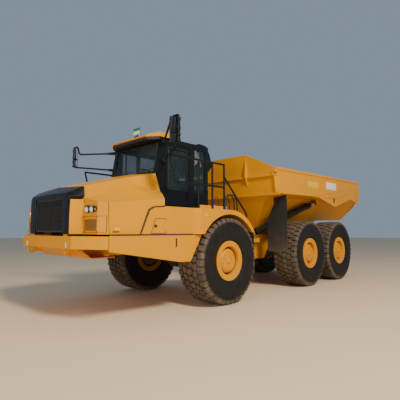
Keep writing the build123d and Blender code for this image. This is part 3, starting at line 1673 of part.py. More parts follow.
# Dump body: sections across the load space
# columns: x, floor half width, floor z, knee y, knee z, ledge y, ledge z, bend z, side y, side top z
bed_second_behind = 513
bed_third_behind = 1593
bed_start_ahead = 150
bed_second_x = axle2_x + bed_second_behind
bed_third_x = axle2_x + bed_third_behind
bed_sections = [
    (bed_front_x - bed_start_ahead, 680, 1600, 1280, 2440, 1700, 2500, 2530, 1700, bed_top_front),
    (bed_second_x, 660, 1680, 1230, 2490, 1690, 2540, 2560, 1694, bed_top_front + 50),
    (bed_third_x, 650, 1740, 1210, 2520, 1680, 2580, 2700, 1690, bed_top_front + 75),
    (pivot_x, 750, 1930, 1290, 2480, 1625, 2660, 2815, 1643, bed_top_rear - 35),
    (tail_x, 870, 1960, 1360, 2400, 1555, 2700, bed_bend_rear, bed_rear_half, bed_top_rear),
]


def bed_at(x):
    """The sizes of the bed's section at a station along the truck."""
    for low, high in zip(bed_sections, bed_sections[1:]):
        if x <= high[0]:
            share = (x - low[0]) / (high[0] - low[0])
            return [a + share * (b - a) for a, b in zip(low[1:], high[1:])]
    return list(bed_sections[-1][1:])


def under_ledge(x, y):
    """Height of the bed's underside outside its knee."""
    knee_y, knee_z, ledge_y, ledge_z = bed_at(x)[2:6]
    return knee_z + (ledge_z - knee_z) * (y - knee_y) / (ledge_y - knee_y)


def bed_form(inset):
    """The bed's outer form, or the load space when an inset is given, added to the open part."""
    outlines = []
    for x, floor_y, floor_z, knee_y, knee_z, ledge_y, ledge_z, bend_z, side_y, top_z in bed_sections:
        shift = inset if x == tail_x else 0
        with BuildSketch(Plane.YZ.offset(x + shift)) as outline:
            with BuildLine():
                Polyline(
                    (0, floor_z + inset),
                    (floor_y - inset / 2, floor_z + inset),
                    (knee_y - inset / 2, knee_z + inset),
                    (ledge_y - inset, ledge_z + inset),
                    (side_y - inset, bend_z + inset),
                    (side_y - inset, top_z + 2 * inset),
                    (0, top_z + 2 * inset),
                )
                mirror(about=Plane.YZ)
            make_face()
        outlines.append(outline.sketch)
    loft(outlines, ruled=True)


bed_cut_low_z = 1500
bed_cut_room = 100


def bed_nose(shift):
    """The side view of the bed's front end, set back by a shift, kept from the open part."""
    with BuildSketch(Plane.XZ) as side_view:
        with BuildLine():
            Polyline(
                (bed_nose_top_x + shift, bed_top_front),
                (bed_front_x + shift, bed_lip_z),
                (bed_nose_bottom_x + shift, bed_cut_low_z),
                (tail_x + bed_cut_room, bed_cut_low_z),
                (tail_x + bed_cut_room, bed_top_front + 4 * bed_cut_room),
                (bed_nose_top_x + shift, bed_top_front + 4 * bed_cut_room),
                close=True,
            )
        make_face()
    extrude(side_view.sketch, amount=20 * bed_cut_room, both=True, mode=Mode.INTERSECT)


with BuildPart() as load_space:
    bed_form(bed_wall)
    bed_nose(bed_wall)

body_beam_y = 300
body_beam_width = 100
body_beam_setback = 320
lug_half = 110
lug_ahead = 330
lug_back = 160
guard_half = 1690
guard_lap = 25
lip_rise = 35
lip_depth = 30
lip_height = 70
rib_depth = 45
rib_thickness = 50
fin_foot_rise = 270
fin_foot_out = 25
fin_knee_out = 95
fin_knee_rise = 20
fin_lap = 12
rail_wider = 16
rail_deep = 60
tail_frame = 70
tail_frame_out = 14
facet_plate = 18
# mudflaps hang against rails ahead of the middle wheels
flap_tyre_gap = 327
bed_flap_x = axle2_x - tyre_radius - flap_tyre_gap
flap_outer_y = 1660
flap_top_gap = 12
flap_rail = 14
flap_rail_height = 90
flap_rail_start = 1320
facet_low_behind = 150
facet_low_x = bed_third_x + facet_low_behind
facet_low_y = 1655
facet_low_z = 2310
# outline of the side's lower facet seen from the side
facet_outline = [
    (bed_second_x, 2550),
    (facet_low_x, facet_low_z),
    (tail_x - 810, 2640),
    (tail_x - 130, 2500),
    (tail_x - 2, 2560),
    (tail_x - 2, bed_bend_rear - 10),
    (pivot_x, 2790),
    (bed_third_x, 2680),
]
body_beam_start_x = bed_nose_bottom_x + body_beam_setback
hoist_lug = 25
lug_flare = 30
hoist_lug_gap = 50
with BuildPart() as dump_body:
    bed_form(0)
    bed_nose(0)
    add(load_space.part, mode=Mode.SUBTRACT)
    # raised guard above the front wall
    guard_plane = Plane(
        origin=(bed_nose_top_x, 0, bed_top_front),
        x_dir=(0, -1, 0),
        z_dir=(-1, 0, (headboard_top_x - bed_nose_top_x) / (headboard_top - bed_top_front)),
    )
    guard_height = hypot(headboard_top - bed_top_front, headboard_top_x - bed_nose_top_x)
    with BuildSketch(guard_plane):
        with BuildLine():
            Polyline(
                (-guard_half, -guard_lap),
                (-guard_half, 0),
                (-headboard_half_top, guard_height),
                (headboard_half_top, guard_height),
                (guard_half, 0),
                (guard_half, -guard_lap),
                close=True,
            )
        make_face()
    extrude(amount=-bed_wall)
    # beams below the floor, with the pivot lugs behind them
    for side in (1, -1):
        with BuildSketch(Plane.XZ.offset(-side * body_beam_y - body_beam_width / 2)):
            with BuildLine():
                Polyline(
                    (body_beam_start_x, rear_rail_top + bed_pad),
                    (pivot_x - lug_ahead, rear_rail_top + bed_pad),
                    (pivot_x - lug_half, pivot_z - pivot_pin_drop),
                )
                ThreePointArc(
                    (pivot_x - lug_half, pivot_z - pivot_pin_drop),
                    (pivot_x, pivot_z - pivot_pin_drop - lug_half),
                    (pivot_x + lug_half, pivot_z - pivot_pin_drop),
                )
                Polyline(
                    (pivot_x + lug_half, pivot_z - pivot_pin_drop),
                    (pivot_x + lug_back, bed_at(pivot_x + lug_back)[1] + bed_wall / 2),
                    (bed_sections[2][0], bed_sections[2][2] + bed_wall / 2),
                    (bed_sections[1][0], bed_sections[1][2] + bed_wall / 2),
                    (body_beam_start_x, bed_at(body_beam_start_x)[1] + bed_wall / 2),
                    (body_beam_start_x, rear_rail_top + bed_pad),
                )
            make_face()
            with Locations((pivot_x, pivot_z - pivot_pin_drop)):
                Circle(pivot_pin_radius + seat_gap, mode=Mode.SUBTRACT)
        extrude(amount=body_beam_width)
    # upper rib and lower lip across the front wall, on the wall's slope
    # columns: height, depth, thickness, half width
    for bar_z, bar_depth, bar_height, bar_half in (
        (headboard_rib_z, rib_depth, rib_thickness, bed_sections[0][8] - bed_wall / 2),
        (bed_lip_z + lip_rise, lip_depth, lip_height, bed_sections[0][8]),
    ):
        slope_share = (bar_z - bed_lip_z) / (bed_top_front - bed_lip_z)
        bar_x = bed_front_x - slope_share * (bed_front_x - bed_nose_top_x)
        with Locations((bar_x - bar_depth / 2 + bed_wall / 2, 0, bar_z)):
            Box(bar_depth + bed_wall, 2 * bar_half, bar_height)
    # fins from the guard's peaks down the front wall
    for side in (1, -1):
        fin_y = side * (headboard_half_top - bed_wall)
        with BuildSketch(Plane.XZ.offset(-fin_y)):
            with BuildLine():
                Polyline(
                    (headboard_top_x + fin_lap, headboard_top - 8),
                    (bed_nose_top_x - fin_knee_out, headboard_rib_z + fin_knee_rise),
                    (bed_front_x - fin_foot_out, bed_lip_z + fin_foot_rise),
                    (bed_front_x, bed_lip_z + fin_foot_rise),
                    (bed_nose_top_x + fin_lap, bed_top_front),
                    close=True,
                )
            make_face()
        extrude(amount=bed_wall / 2, both=True)
    for side in (1, -1):
        # top rail along the side
        rail_points = [
            Vector(x, side * (side_y - bed_wall / 2), top_z)
            for x, side_y, top_z in (
                (bed_nose_top_x + 8, bed_sections[0][8], bed_top_front),
                (bed_sections[2][0], bed_sections[2][8], bed_sections[2][9]),
                (tail_x - 3, bed_rear_half, bed_top_rear),
            )
        ]
        for run_start, run_end in zip(rail_points, rail_points[1:]):
            run = run_end - run_start
            with BuildSketch(Plane(origin=run_start, x_dir=(0, 1, 0), z_dir=run)) as rail_section:
                Rectangle(bed_wall + rail_wider, rail_deep)
            extrude(rail_section.sketch, amount=run.length)
        # lower facet of the side, hanging below the ledge towards the tail
        facet_start = Vector(bed_sections[1][0], side * bed_sections[1][5], bed_sections[1][6])
        facet_rear = Vector(tail_x, side * bed_rear_half, bed_bend_rear)
        facet_low = Vector(facet_low_x, side * facet_low_y, facet_low_z)
        facet_normal = (facet_rear - facet_start).cross(facet_low - facet_start)
        facet_plane = Plane(origin=facet_start, x_dir=facet_rear - facet_start, z_dir=facet_normal)
        facet_points = []
        for x, z in facet_outline:
            across = facet_normal.X * (x - facet_start.X) + facet_normal.Z * (z - facet_start.Z)
            point = Vector(x, facet_start.Y - across / facet_normal.Y, z)
            local = facet_plane.to_local_coords(point)
            facet_points.append((local.X, local.Y))
        with BuildSketch(facet_plane):
            with BuildLine():
                Polyline(*facet_points, close=True)
            make_face()
        extrude(amount=-side * facet_normal.Y / abs(facet_normal.Y) * facet_plate)
    # frame round the tail
    for side in (1, -1):
        tail_points = [
            (0, bed_sections[4][2]),
            (bed_sections[4][1], bed_sections[4][2]),
            (bed_sections[4][3], bed_sections[4][4]),
            (bed_sections[4][5], bed_sections[4][6]),
            (bed_rear_half, bed_bend_rear),
            (bed_rear_half, bed_top_rear),
        ]
        for (y1, z1), (y2, z2) in zip(tail_points, tail_points[1:]):
            start_point = Vector(tail_x - tail_frame, side * y1, z1)
            end_point = Vector(tail_x - tail_frame, side * y2, z2)
            run = end_point - start_point
            with BuildSketch(Plane(origin=start_point, x_dir=(1, 0, 0), z_dir=run)) as tail_section:
                with Locations((tail_frame / 2, 0)):
                    Rectangle(tail_frame - 2, 2 * tail_frame_out)
            extrude(tail_section.sketch, amount=run.length)
    # rails that carry the mudflaps, behind them
    for side in (1, -1):
        with BuildSketch(Plane.YZ.offset(bed_flap_x + flap_plate + seat_gap)):
            with BuildLine():
                Polyline(
                    (side * flap_rail_start, under_ledge(bed_flap_x, flap_rail_start) + bed_wall / 2),
                    (side * flap_rail_start, under_ledge(bed_flap_x, flap_rail_start) - flap_rail_height),
                    (side * flap_outer_y, under_ledge(bed_flap_x, flap_outer_y) - flap_rail_height),
                    (side * flap_outer_y, under_ledge(bed_flap_x, flap_outer_y) + bed_wall / 2),
                    close=True,
                )
            make_face()
        extrude(amount=flap_rail)
    # open forks for the hoist cylinders' upper eyes
    for lug_y in (
        hoist_head[1] - hoist_eye_width / 2 - hoist_lug_gap - hoist_lug,
        hoist_head[1] + hoist_eye_width / 2 + hoist_lug_gap,
    ):
        lug_top = under_ledge(hoist_head[0], lug_y) + bed_wall
        for side in (1, -1):
            lug_start = side * lug_y + (hoist_lug if side > 0 else 0)
            with BuildSketch(Plane.XZ.offset(-lug_start)):
                with Locations((hoist_head[0], hoist_head[2])):
                    Circle(hoist_eye_radius)
                with Locations((hoist_head[0], (hoist_head[2] + lug_top) / 2)):
                    Rectangle(2 * (hoist_eye_radius + lug_flare), lug_top - hoist_head[2])
            extrude(amount=hoist_lug)
dump_body.part.label = "dump_body"
export_step(dump_body.part, "parts/dump_body.step")

# Mudflaps of the bed, in front of the middle wheels
flap_inner_y = 1060
flap_bottom = 1000
flap_notch_z = 1850
flap_notch_drop = 200
flap_knee_y, flap_knee_z = bed_at(bed_flap_x)[2:4]
flap_outer_z = under_ledge(bed_flap_x, flap_outer_y) - flap_top_gap
with BuildPart() as bed_flaps:
    for side in (1, -1):
        with BuildSketch(Plane.YZ.offset(bed_flap_x)):
            with BuildLine():
                Polyline(
                    (side * flap_inner_y, flap_bottom),
                    (side * flap_inner_y, flap_notch_z),
                    (side * flap_knee_y, flap_knee_z - flap_notch_drop),
                    (side * flap_knee_y, flap_knee_z - flap_top_gap),
                    (side * flap_outer_y, flap_outer_z),
                    (side * flap_outer_y, flap_bottom),
                    close=True,
                )
            make_face()
        extrude(amount=flap_plate)
bed_flaps.part.label = "bed_flaps"
export_step(bed_flaps.part, "parts/bed_flaps.step")


def eye(point, radius, width, about, mode=Mode.ADD):
    """A short cylinder centred on a point, its axis about the Y or Z direction."""
    with BuildSketch(Plane(origin=point, z_dir=about)) as section:
        Circle(radius)
    extrude(section.sketch, amount=width / 2, both=True, mode=mode)


def ram(foot, head, barrel_length, rod_start, barrel_radius, rod_radius, eye_size, about, piece):
    """The barrel or the rod of a hydraulic cylinder between two eyes, added to the open part."""
    eye_radius, eye_width, pin_radius = eye_size
    run = Vector(*head) - Vector(*foot)
    line = Plane(origin=foot, z_dir=run)
    root = eye_radius * 0.7
    barrel_start = eye_radius * 1.3
    if piece == "barrel":
        with BuildSketch(line.offset(root)) as neck:
            Circle(eye_width * 0.45)
        extrude(neck.sketch, amount=barrel_start - root)
        with BuildSketch(line.offset(barrel_start)) as tube:
            Circle(barrel_radius)
        extrude(tube.sketch, amount=barrel_length - barrel_start)
        eye(foot, eye_radius, eye_width, about)
        with BuildSketch(line.offset(1.4 * eye_radius)) as bore:
            Circle(rod_radius + seat_gap)
        extrude(bore.sketch, amount=barrel_length, mode=Mode.SUBTRACT)
        eye(foot, pin_radius, 4 * eye_width, about, mode=Mode.SUBTRACT)
    else:
        with BuildSketch(line.offset(rod_start)) as rod:
            Circle(rod_radius)
        extrude(rod.sketch, amount=run.length - rod_start - root)
        eye(head, eye_radius, eye_width, about)
        eye(head, pin_radius, 2 * eye_width, about, mode=Mode.SUBTRACT)


hoist_eye = (hoist_eye_radius, hoist_eye_width, hoist_pin_radius)
steer_eye = (steer_eye_radius, steer_eye_width, steer_pin_radius)
# rams: name, foot, head, barrel length, rod start, barrel radius, rod radius, eye sizes, eye direction
rams = [
    ("hoist", hoist_foot, hoist_head, hoist_barrel_length, hoist_rod_start, hoist_barrel_radius,
     hoist_rod_radius, hoist_eye, (0, 1, 0)),
    ("steer", steer_foot, steer_head, steer_barrel_length, steer_rod_start, steer_barrel_radius,
     steer_rod_radius, steer_eye, (0, 0, 1)),
]
for ram_name, foot, head, length, rod_start, barrel_radius, rod_radius, eye_size, way in rams:
    for side, side_name in ((-1, "left"), (1, "right")):
        side_foot = (foot[0], side * foot[1], foot[2])
        side_head = (head[0], side * head[1], head[2])
        for piece in ("barrel", "rod"):
            with BuildPart() as cylinder_piece:
                ram(side_foot, side_head, length, rod_start, barrel_radius, rod_radius, eye_size, way, piece)
            cylinder_piece.part.label = f"{ram_name}_{piece}_{side_name}"
            export_step(cylinder_piece.part, f"parts/{ram_name}_{piece}_{side_name}.step")
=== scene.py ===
import math

import bmesh
import bpy
from mathutils import Euler, Matrix, Vector


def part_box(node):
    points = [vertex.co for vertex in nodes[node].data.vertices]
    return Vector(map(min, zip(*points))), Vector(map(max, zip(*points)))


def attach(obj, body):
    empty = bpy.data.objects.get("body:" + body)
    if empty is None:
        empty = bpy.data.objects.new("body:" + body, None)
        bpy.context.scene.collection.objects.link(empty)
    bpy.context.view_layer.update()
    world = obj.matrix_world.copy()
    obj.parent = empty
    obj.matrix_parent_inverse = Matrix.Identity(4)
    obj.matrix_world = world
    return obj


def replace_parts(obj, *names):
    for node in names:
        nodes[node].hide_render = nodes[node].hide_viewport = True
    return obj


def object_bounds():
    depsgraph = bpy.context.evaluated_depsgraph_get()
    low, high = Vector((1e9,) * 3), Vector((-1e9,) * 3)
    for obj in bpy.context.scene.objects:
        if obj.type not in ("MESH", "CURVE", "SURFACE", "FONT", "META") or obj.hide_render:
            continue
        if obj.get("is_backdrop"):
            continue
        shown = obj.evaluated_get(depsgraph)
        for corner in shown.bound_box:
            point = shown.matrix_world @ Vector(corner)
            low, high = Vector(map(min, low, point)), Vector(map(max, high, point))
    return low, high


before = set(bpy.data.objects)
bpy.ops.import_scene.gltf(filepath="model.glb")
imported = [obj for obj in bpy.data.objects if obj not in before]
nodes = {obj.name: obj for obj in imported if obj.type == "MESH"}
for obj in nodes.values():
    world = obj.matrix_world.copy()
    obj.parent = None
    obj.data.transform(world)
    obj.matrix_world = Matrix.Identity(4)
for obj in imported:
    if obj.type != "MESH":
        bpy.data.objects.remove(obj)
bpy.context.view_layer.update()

# Studio: a pale floor, one broad key light from the truck's left front quarter, a fill from
# the nose, a cool sky, and the camera low down beside the left front corner.
FLOOR_HALF, FLOOR_Z = 70, -0.002
SKY_COLOUR, SKY_STRENGTH = (0.60, 0.77, 1.0, 1), 0.38
CAMERA_PLACE, CAMERA_YAW, CAMERA_PITCH = (-8.242, -6.620, 1.572), 0.765, 0.082
LENS, SENSOR = 32.8, 36


def placed(name, data):
    """A new object in the scene."""
    made = bpy.data.objects.new(name, data)
    bpy.context.scene.collection.objects.link(made)
    return made


def aim(thing, place, direction):
    """Sets a light or the camera at a place, so that it looks along a direction."""
    thing.location = place
    thing.rotation_mode = "QUATERNION"
    thing.rotation_quaternion = Vector(direction).to_track_quat("-Z", "Y")


def panel_light(name, place, target, size, power, colour):
    """A square soft light at a place, aimed at a target."""
    light = bpy.data.lights.new(name, "AREA")
    light.shape, light.size, light.energy, light.color = "SQUARE", size, power, colour
    aim(placed(name, light), place, Vector(target) - Vector(place))


floor_mesh = bpy.data.meshes.new("floor")
floor_corners = [(x * FLOOR_HALF, y * FLOOR_HALF, FLOOR_Z) for x, y in ((-1, -1), (1, -1), (1, 1), (-1, 1))]
floor_mesh.from_pydata(floor_corners, [], [(0, 1, 2, 3)])
placed("floor", floor_mesh)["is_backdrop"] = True
world = bpy.data.worlds.new("sky")
world.use_nodes = True
sky = world.node_tree.nodes["Background"]
sky.inputs["Color"].default_value = SKY_COLOUR
sky.inputs["Strength"].default_value = SKY_STRENGTH
bpy.context.scene.world = world
panel_light("key", (-6.5, -13.6, 13.0), (-0.5, 0, 1.5), 3.0, 3150, (1.0, 0.91, 0.74))
panel_light("fill", (-16.0, -4.0, 4.0), (-2.0, 0, 1.5), 8.0, 620, (1.0, 0.94, 0.84))
camera = placed("camera", bpy.data.cameras.new("camera"))
camera.data.lens, camera.data.sensor_width = LENS, SENSOR
level = math.cos(CAMERA_PITCH)
ahead = (level * math.cos(CAMERA_YAW), level * math.sin(CAMERA_YAW), math.sin(CAMERA_PITCH))
aim(camera, CAMERA_PLACE, ahead)
bpy.context.scene.camera = camera


# Dump body: welded steel plate in yellow enamel, with dust that settles on what faces up and
# road dirt low down. The other painted pieces take their finish and their forms from here.
class Value:
    """An output of a material's node; sums and products with it add Math nodes."""

    def __init__(self, finish, output):
        self.finish, self.output = finish, output

    def maths(self, operation, *terms):
        return self.finish.node("ShaderNodeMath", {"operation": operation}, dict(enumerate(terms)))

    def __add__(self, other):
        return self.maths("ADD", self, other)

    def __sub__(self, other):
        return self.maths("SUBTRACT", self, other)

    def __rsub__(self, other):
        return self.maths("SUBTRACT", other, self)

    def __mul__(self, other):
        return self.maths("MULTIPLY", self, other)

    def __abs__(self):
        return self.maths("ABSOLUTE", self)

    __radd__ = __add__
    __rmul__ = __mul__

    def step(self, low, high):
        """0 below low, 1 above high, and smooth between them."""
        sockets = {"Value": self, "From Min": low, "From Max": high}
        return self.finish.node("ShaderNodeMapRange", {"interpolation_type": "SMOOTHSTEP"}, sockets)


class Finish:
    """A material with its nodes."""

    def __init__(self, name):
        self.material = bpy.data.materials.new(name)
        self.material.use_nodes = True
        self.tree = self.material.node_tree
        self.shader = self.tree.nodes["Principled BSDF"]
        coordinates = self.tree.nodes.new("ShaderNodeTexCoord")
        self.place = Value(self, coordinates.outputs["Object"])
        self.facing = Value(self, coordinates.outputs["Normal"])

    def node(self, kind, settings, sockets, output=0):
        made = self.tree.nodes.new(kind)
        for key, setting in settings.items():
            setattr(made, key, setting)
        for key, value in sockets.items():
            if isinstance(value, Value):
                self.tree.links.new(value.output, made.inputs[key])
            else:
                made.inputs[key].default_value = value
        return Value(self, made.outputs[output])

    def set(self, **values):
        """Gives the shader's sockets a constant, a colour or another node's output."""
        for key, value in values.items():
            socket = self.shader.inputs[key.replace("_", " ")]
            if isinstance(value, Value):
                self.tree.links.new(value.output, socket)
            else:
                socket.default_value = (*value, 1) if isinstance(value, tuple) else value

    def axis(self, vector, name):
        return self.node("ShaderNodeSeparateXYZ", {}, {"Vector": vector}, name)

    def noise(self, scale, detail=3.0, roughness=0.5):
        sockets = {"Vector": self.place, "Scale": scale, "Detail": detail, "Roughness": roughness}
        return self.node("ShaderNodeTexNoise", {}, sockets)

    def blend(self, share, first, second):
        """A colour between two colours."""
        first, second = (c if isinstance(c, Value) else (*c, 1) for c in (first, second))
        return self.node("ShaderNodeMix", {"data_type": "RGBA"}, {"Factor": share, 6: first, 7: second}, 2)

    def bump(self, height, strength, distance):
        return self.node("ShaderNodeBump", {}, {"Height": height, "Strength": strength, "Distance": distance})

    def dusted(self, paint, dust, low, high, amount=1.0):
        """The paint's colour and the share of dust on it: low down, and on what faces up."""
        height = self.axis(self.place, "Z")
        up = self.axis(self.facing, "Z").step(0.75, 1.0)
        patches = self.noise(1.6, 6.0, 0.62).step(0.42, 0.72)
        share = (1 - height.step(low, high)) * (0.35 + 0.5 * patches) + up * patches * 0.3
        share = amount * share.maths("MINIMUM", share, 0.85)
        return self.blend(share, paint, dust), share


def yellow_paint(name):
    """A finish of yellow enamel, its colour with fading and dust, and its share of dust."""
    made = Finish(name)
    yellow = made.blend(made.noise(0.9, 4.0).step(0.35, 0.75), (0.78, 0.325, 0.0), (0.72, 0.295, 0.0))
    made.set(Specular_IOR_Level=0.16, Coat_Weight=0.05)
    return made, *made.dusted(yellow, (0.36, 0.26, 0.16), 0.2, 1.25, 0.35)


def ripples(finish):
    """The height of slow waves in sheet metal under the fine grain of its paint."""
    return finish.noise(2.2, 2.0) + 0.06 * finish.noise(240.0, 1.0)


def dress(finish, *names):
    """Gives CAD nodes a finish."""
    for name in names:
        nodes[name].data.materials.clear()
        nodes[name].data.materials.append(finish.material)


def bridge(part, one, two):
    """Faces between two rings of corners; a ring of one corner is a pole."""
    count = max(len(one), len(two))
    made = []
    for i in range(count):
        k = (i + 1) % count
        corners = (one[i % len(one)], one[k % len(one)], two[k % len(two)], two[i % len(two)])
        made.append(part.faces.new(list(dict.fromkeys(corners))))
    return made


class Shape:
    """Solid forms gathered into the mesh of one piece."""

    def __init__(self):
        self.mesh = bmesh.new()

    def add(self, part, place=None):
        if place:
            part.transform(place)
        bmesh.ops.recalc_face_normals(part, faces=part.faces)
        carrier = bpy.data.meshes.new("carrier")
        part.to_mesh(carrier)
        part.free()
        self.mesh.from_mesh(carrier)
        bpy.data.meshes.remove(carrier)

    def ease(self, part, edge, steps, angle=0.5):
        """Rounds the edges that are sharper than an angle."""
        sharp = [e for e in part.edges if e.calc_face_angle(0) > angle]
        bmesh.ops.bevel(part, geom=sharp, offset=edge, segments=steps, profile=0.6, affect="EDGES")

    def box(self, centre, size, edge=0.0, steps=2, turn=(0, 0, 0)):
        part = bmesh.new()
        bmesh.ops.create_cube(part, size=1, matrix=Matrix.Diagonal((*size, 1)))
        if edge:
            self.ease(part, edge, steps)
        self.add(part, Matrix.Translation(centre) @ Euler(turn).to_matrix().to_4x4())

    def pair(self, centre, size, edge=0.0, steps=2):
        """A box on the right of the truck and its mirror image on the left."""
        x, y, z = centre
        for across in (-y, y):
            self.box((x, across, z), size, edge, steps)

    def plate(self, outline, depth, edge=0.0, steps=1):
        """A flat outline in space, given thickness along a vector."""
        part = bmesh.new()
        lower = [part.verts.new(p) for p in outline]
        upper = [part.verts.new(Vector(p) + Vector(depth)) for p in outline]
        part.faces.new(lower)
        part.faces.new(upper[::-1])
        bridge(part, lower, upper)
        if edge:
            bmesh.ops.recalc_face_normals(part, faces=part.faces)
            self.ease(part, edge, steps)
        self.add(part)

    def lathe(self, profile, centre, axis, sides=24):
        """A profile of radius and height turned about an axis, with caps if it doesn't close."""
        part = bmesh.new()
        turns = [2 * math.pi * i / sides for i in range(sides)]
        rings = []
        for r, height in profile:
            ring = turns if r > 1e-6 else turns[:1]
            rings.append([part.verts.new((r * math.cos(a), r * math.sin(a), height)) for a in ring])
        for one, two in zip(rings, rings[1:]):
            bridge(part, one, two)
        if profile[0] == profile[-1]:
            bmesh.ops.remove_doubles(part, verts=part.verts, dist=1e-6)
        else:
            for last in (rings[0], rings[-1]):
                if len(last) > 1:
                    part.faces.new(last)
        turn = Vector(axis).to_track_quat("Z", "Y").to_matrix().to_4x4()
        self.add(part, Matrix.Translation(centre) @ turn)

    def tube(self, path, radius, sides=10):
        """A round bar along a path, with mitred corners and closed ends."""
        part = bmesh.new()
        path = [Vector(p) for p in path]
        runs = [(b - a).normalized() for a, b in zip(path, path[1:])]
        side = runs[0].orthogonal().normalized()
        rings = []
        for n, point in enumerate(path):
            before, after = runs[max(n - 1, 0)], runs[min(n, len(runs) - 1)]
            along = (before + after).normalized()
            side = (side - along * side.dot(along)).normalized()
            other = along.cross(side)
            stretch = 1 / max(0.35, along.dot(before))
            bend = before.cross(after)
            ring = []
            for i in range(sides):
                a = 2 * math.pi * i / sides
                offset = (side * math.cos(a) + other * math.sin(a)) * radius
                if bend.length > 1e-4:
                    outward = bend.cross(along).normalized()
                    offset += outward * outward.dot(offset) * (stretch - 1)
                ring.append(part.verts.new(point + offset))
            rings.append(ring)
        for one, two in zip(rings, rings[1:]):
            bridge(part, one, two)
        part.faces.new(rings[0])
        part.faces.new(rings[-1])
        self.add(part)

    def piece(self, name, finish, body, slot=None, soft=0.7):
        """The gathered mesh as a piece that rides on a body."""
        for face in self.mesh.faces:
            face.smooth = True
        for e in self.mesh.edges:
            e.smooth = e.calc_face_angle(0) < soft
        mesh = bpy.data.meshes.new(name)
        self.mesh.to_mesh(mesh)
        self.mesh.free()
        mesh.materials.append(finish.material)
        made = placed(name, mesh)
        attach(made, body)
        return made


enamel, enamel_colour, enamel_dust = yellow_paint("yellow_enamel")
enamel.set(
    Base_Color=enamel_colour,
    Coat_Roughness=0.15,
    Roughness=0.38 + 0.45 * enamel_dust,
    Normal=enamel.bump(ripples(enamel), 0.22, 0.012),
)
dress(enamel, "dump_body")

# Bosses and weld beads of the dump body, on its own steel: two bosses on each side, a bead
# under the top rail, and a bead down each joint between two side plates.
# columns: place along the bed, half width of the side, height of the top edge
BED_STATIONS = (
    (-0.36, 1.700, 3.140),
    (1.96, 1.694, 3.190),
    (3.04, 1.690, 3.215),
    (4.14, 1.643, 3.245),
    (5.40, 1.590, 3.280),
)
BOSS = [(0.0, 0.014), (0.016, 0.014), (0.018, 0.008), (0.042, 0.007), (0.046, 0.0), (0.0, 0.0)]
BOSS_PLACES = ((0.15, 3.005), (4.55, 3.085))
RAIL_BEAD_START, RAIL_BEAD_LENGTH, RAIL_BEAD_STEPS, RAIL_BEAD_DROP = -0.25, 5.6, 60, 0.034
# columns: place along the bed, height of the joint's foot
PLATE_JOINTS = ((1.96, 2.60), (3.04, 2.74), (4.14, 2.84))


def along_bed(x):
    """The bed's half width and top height at a place along it."""
    for (x1, *one), (x2, *two) in zip(BED_STATIONS, BED_STATIONS[1:]):
        if x <= x2:
            return [a + (b - a) * (x - x1) / (x2 - x1) for a, b in zip(one, two)]
    return BED_STATIONS[-1][1:]


def side_point(side, x, z, lift=0.0):
    """A point on the bed's side, lifted off it."""
    return Vector((x, side * (along_bed(x)[0] + lift), z))


weld = Shape()
for side in (-1, 1):
    for x, z in BOSS_PLACES:
        weld.lathe(BOSS, side_point(side, x, z, -0.001), (0, side, 0), 20)
    beads = [RAIL_BEAD_START + RAIL_BEAD_LENGTH * i / RAIL_BEAD_STEPS for i in range(RAIL_BEAD_STEPS + 1)]
    weld.tube([side_point(side, x, along_bed(x)[1] - RAIL_BEAD_DROP, 0.008) for x in beads], 0.006, 6)
    for x, low in PLATE_JOINTS:
        weld.tube([side_point(side, x, z) for z in (low, along_bed(x)[1] - 0.05)], 0.005, 6)
weld.piece("bed_bosses_and_welds", enamel, "bed", "yellow_paint")

# Blank plates on the sides of the dump body, where a fleet would put its own marks: a white
# one that follows the bend in the side, and a yellow one ahead of it.
PLATE_HEIGHT, PLATE_THICKNESS = 0.22, 0.003
# columns: start and end along the bed, height of the lower edge at each
WHITE_PARTS = ((2.50, 3.04, 2.825, 2.833), (3.04, 3.24, 2.833, 2.836))
YELLOW_CORNERS = ((1.33, 2.79), (2.02, 2.80), (2.02, 2.98), (1.33, 2.965))


def mottled(name, mix, first, second, rough, grain=None, **others):
    """A finish of two mixed colours.

    mix is the noise that mixes them, rough the least roughness, its spread and its noise, and
    grain the scale and detail of a noise with the strength and distance of its bump.
    """
    made = Finish(name)
    least, spread, *patches = rough
    made.set(
        Base_Color=made.blend(made.noise(*mix), first, second),
        Roughness=least + spread * made.noise(*patches),
        **others,
    )
    if grain:
        made.set(Normal=made.bump(made.noise(*grain[:2]), *grain[2:]))
    return made


def side_plate(shape, side, corners, edge=0.0):
    """A thin plate on the bed's side, from the corners seen from that side."""
    on_side = [side_point(side, x, z, 0.0005) for x, z in corners]
    shape.plate(on_side, (0, side * PLATE_THICKNESS, 0), edge)


plate_white = Finish("plate_white")
plate_grime = plate_white.noise(9.0, 4.0).step(0.45, 0.8)
plate_white.set(
    Base_Color=plate_white.blend(plate_grime * 0.35, (0.82, 0.83, 0.83), (0.52, 0.46, 0.38)),
    Roughness=0.35 + 0.2 * plate_grime,
)
plate_yellow = mottled(
    "plate_yellow", (7.0, 4.0), (0.86, 0.55, 0.0), (0.78, 0.49, 0.01), (0.34, 0.1, 25.0, 2.0)
)
white_plates, yellow_plates = Shape(), Shape()
for side in (-1, 1):
    for x1, x2, z1, z2 in WHITE_PARTS:
        side_plate(white_plates, side, ((x1, z1), (x2, z2), (x2, z2 + PLATE_HEIGHT), (x1, z1 + PLATE_HEIGHT)))
    side_plate(yellow_plates, side, YELLOW_CORNERS, 0.0012)
white_plates.piece("bed_side_plates", plate_white, "bed")
yellow_plates.piece("bed_side_panels", plate_yellow, "bed")

